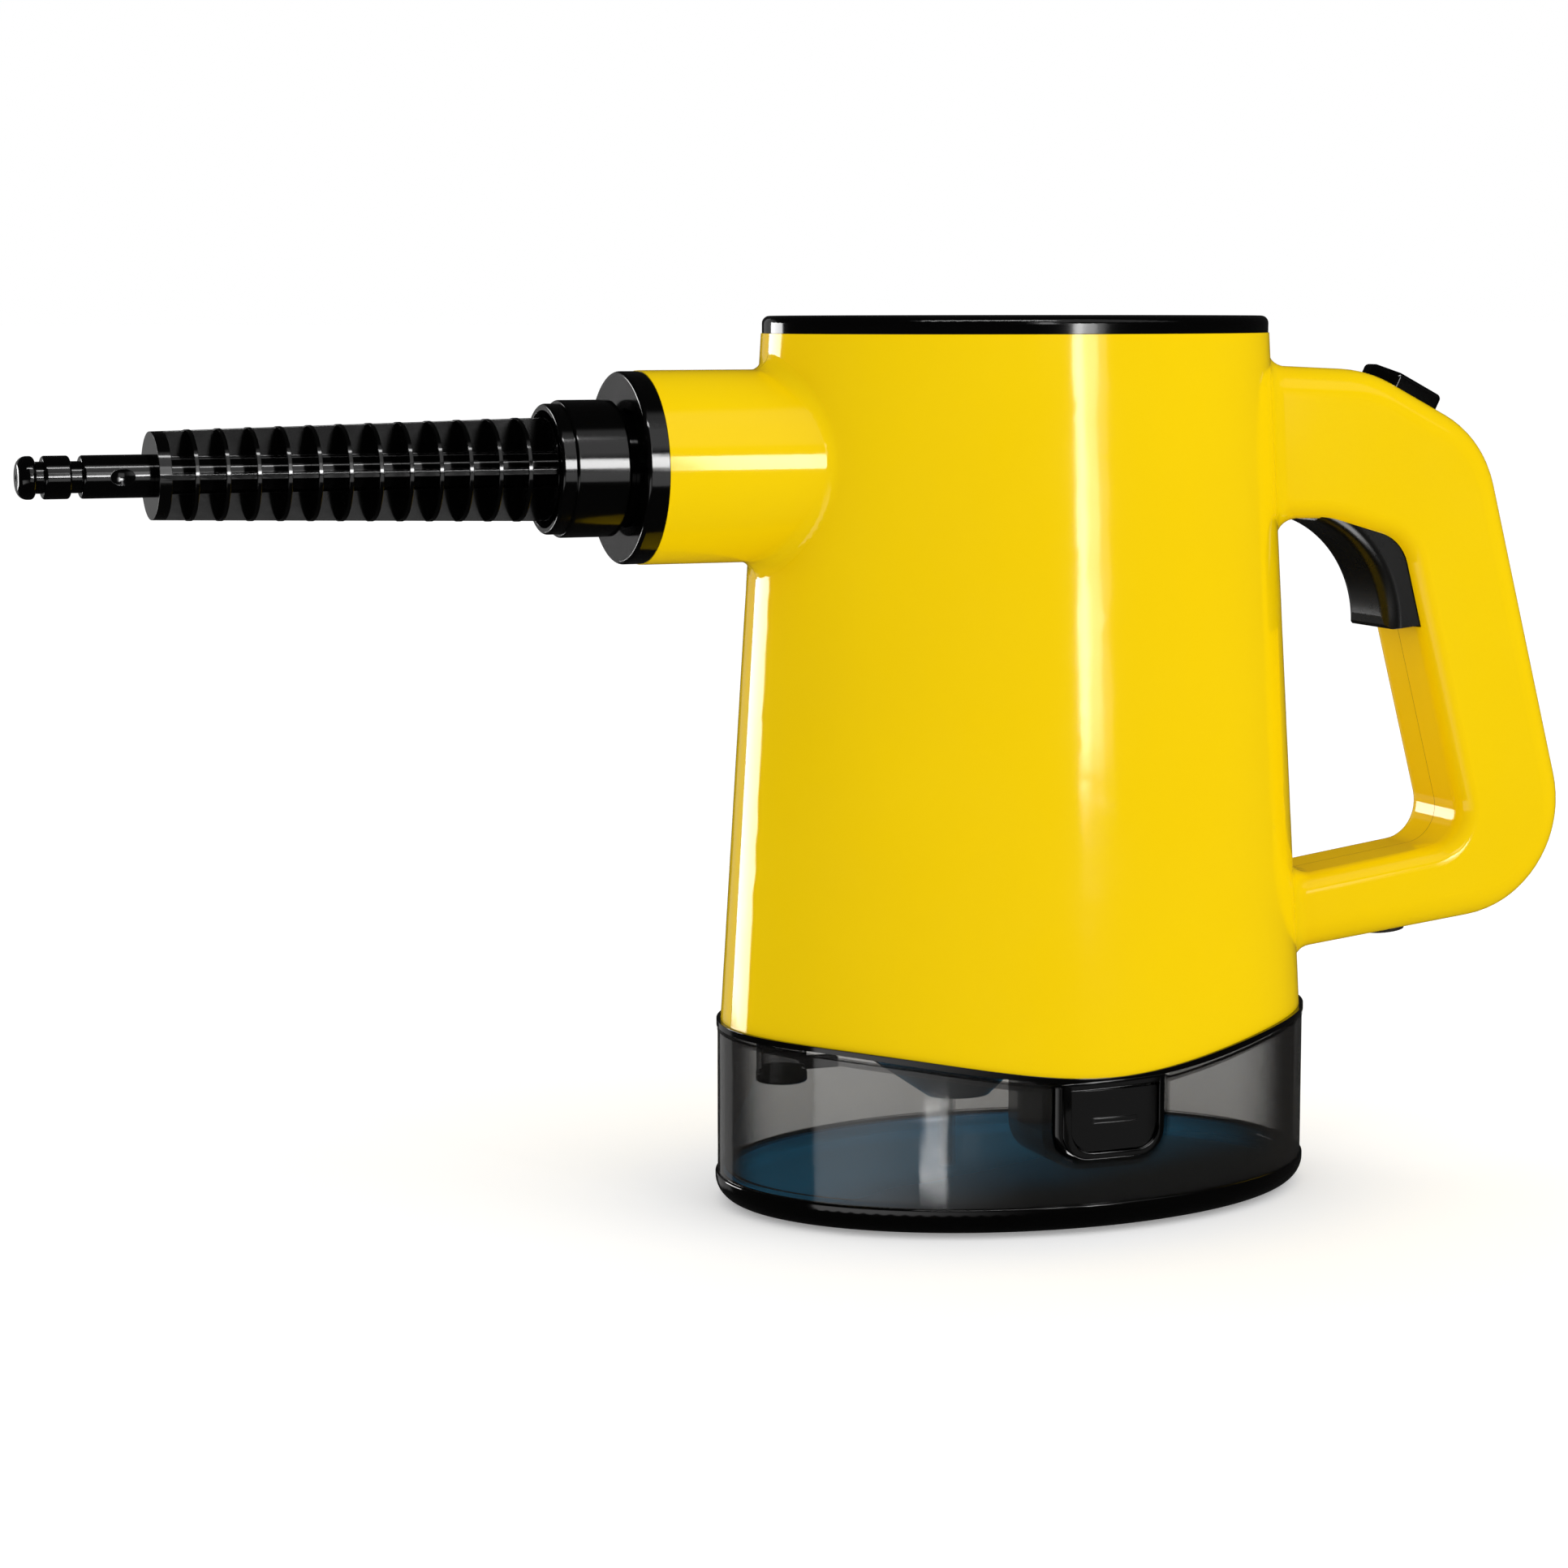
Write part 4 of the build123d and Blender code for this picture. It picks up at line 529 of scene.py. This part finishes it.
def light_panel(name, azimuths, elevations, radiance, mirrored=True, lit=True, only=None, shaded_by=None):
    """Rectangular lamp that fills these angles, in degrees from the front and from level, as seen from
    the object. Mirrored means that gloss shows it, and lit that it brightens matt surfaces."""
    distance = 5.0
    azimuth, elevation = math.radians(sum(azimuths) / 2), math.radians(sum(elevations) / 2)
    width = 2 * distance * math.tan(math.radians(abs(azimuths[1] - azimuths[0]) / 2)) * math.cos(elevation)
    height = 2 * distance * math.tan(math.radians(abs(elevations[1] - elevations[0]) / 2))
    data = bpy.data.lights.new(name, "AREA")
    data.shape = "RECTANGLE"
    data.size, data.size_y = width, height
    data.energy = radiance * math.pi * width * height
    lamp = bpy.data.objects.new(name, data)
    scene.collection.objects.link(lamp)
    towards = Vector((math.cos(elevation) * math.sin(azimuth), -math.cos(elevation) * math.cos(azimuth),
                      math.sin(elevation)))
    lamp.location = AIM + distance * towards
    lamp.rotation_euler = (AIM - lamp.location).to_track_quat("-Z", "Y").to_euler()
    lamp.visible_camera = False
    lamp.visible_glossy = mirrored
    lamp.visible_diffuse = lit
    if only is not None:
        lamp.light_linking.receiver_collection = only
    if shaded_by is not None:
        lamp.light_linking.blocker_collection = shaded_by


def studio():
    """White room light, strips that draw the lines on the shells, and small lamps for single groups."""
    world = bpy.data.worlds.new("studio")
    world.use_nodes = True
    back = world.node_tree.nodes["Background"]
    back.inputs["Color"].default_value = colour("#FFFFFF")
    world.node_tree.links.new(seen_by_rays(world.node_tree, 0.18, 0.82), back.inputs["Strength"])
    scene.world = world
    # The first three make one long window, bright along one edge and fading away from it.
    light_panel("edge_strip", (18.8, 22.0), (-1, 14.5), 17.0)
    light_panel("middle_strip", (22.0, 26.0), (-1, 14.5), 8.0)
    light_panel("fading_strip", (26.0, 29.0), (-1, 14.5), 2.0)
    light_panel("spout_strip", (8.0, 14.0), (9, 26), 3.5)
    light_panel("rear_strip", (-155, -133), (-9, 9), 9.0)
    light_panel("top_strip", (-35, 25), (52, 57), 14.0, lit=False, only=BLACK_PIECES)
    # Only the sole shades the tank's fill, so the housing doesn't darken the tank.
    light_panel("tank_fill", (-60, 20), (40, 85), 1.9, mirrored=False, only=TANK, shaded_by=SOLE)
    # Thin lines and soft glows on the nozzle, the latch and the tank's front wall.
    light_panel("nozzle_line", (7, 19), (3.0, 9.5), 30.0, lit=False, only=CORE_PIECES)
    light_panel("collar_line", (7, 19), (3.0, 18.0), 20.0, lit=False, only=COLLAR_PIECES)
    light_panel("nozzle_low", (2, 26), (-18, -2.5), 1.1, lit=False, only=NOZZLE_PIECES)
    light_panel("nozzle_high", (0, 26), (22, 48), 0.5, lit=False, only=NOZZLE_PIECES)
    light_panel("latch_line", (-30, 40), (38, 60), 11.0, lit=False, only=LATCH_PIECES)
    light_panel("latch_low", (-10, 45), (-62, -38), 13.0, lit=False, only=LATCH_PIECES)
    light_panel("latch_face", (5, 40), (-22, -8), 0.2, lit=False, only=LATCH_PIECES)
    light_panel("tank_streak", (-30, -21.5), (-14.9, -13.2), 1.3, lit=False, only=TANK)
    light_panel("tank_spot_high", (-29, -21.5), (-13.75, -13.35), 6.5, lit=False, only=TANK)
    light_panel("tank_spot_low", (-31, -22), (-14.7, -14.1), 10.0, lit=False, only=TANK)
    light_panel("key", (35, 75), (20, 60), 1.0, mirrored=False)


def camera():
    """Camera to the left of the front, a little above the lid and looking slightly down."""
    looks_down, turned_right = 7.1517, 21.5
    data = bpy.data.cameras.new("camera")
    data.sensor_width = 36.0
    data.lens = 88.51
    data.clip_start, data.clip_end = 0.05, 100.0
    eye = bpy.data.objects.new("camera", data)
    scene.collection.objects.link(eye)
    eye.location = (-0.497567, -1.069507, 0.2735)
    eye.rotation_euler = (math.radians(90 - looks_down), 0.0, math.radians(-turned_right))
    scene.camera = eye


white_paper()
dark_cloth()
studio()
camera()
scene.view_settings.view_transform = "Standard"
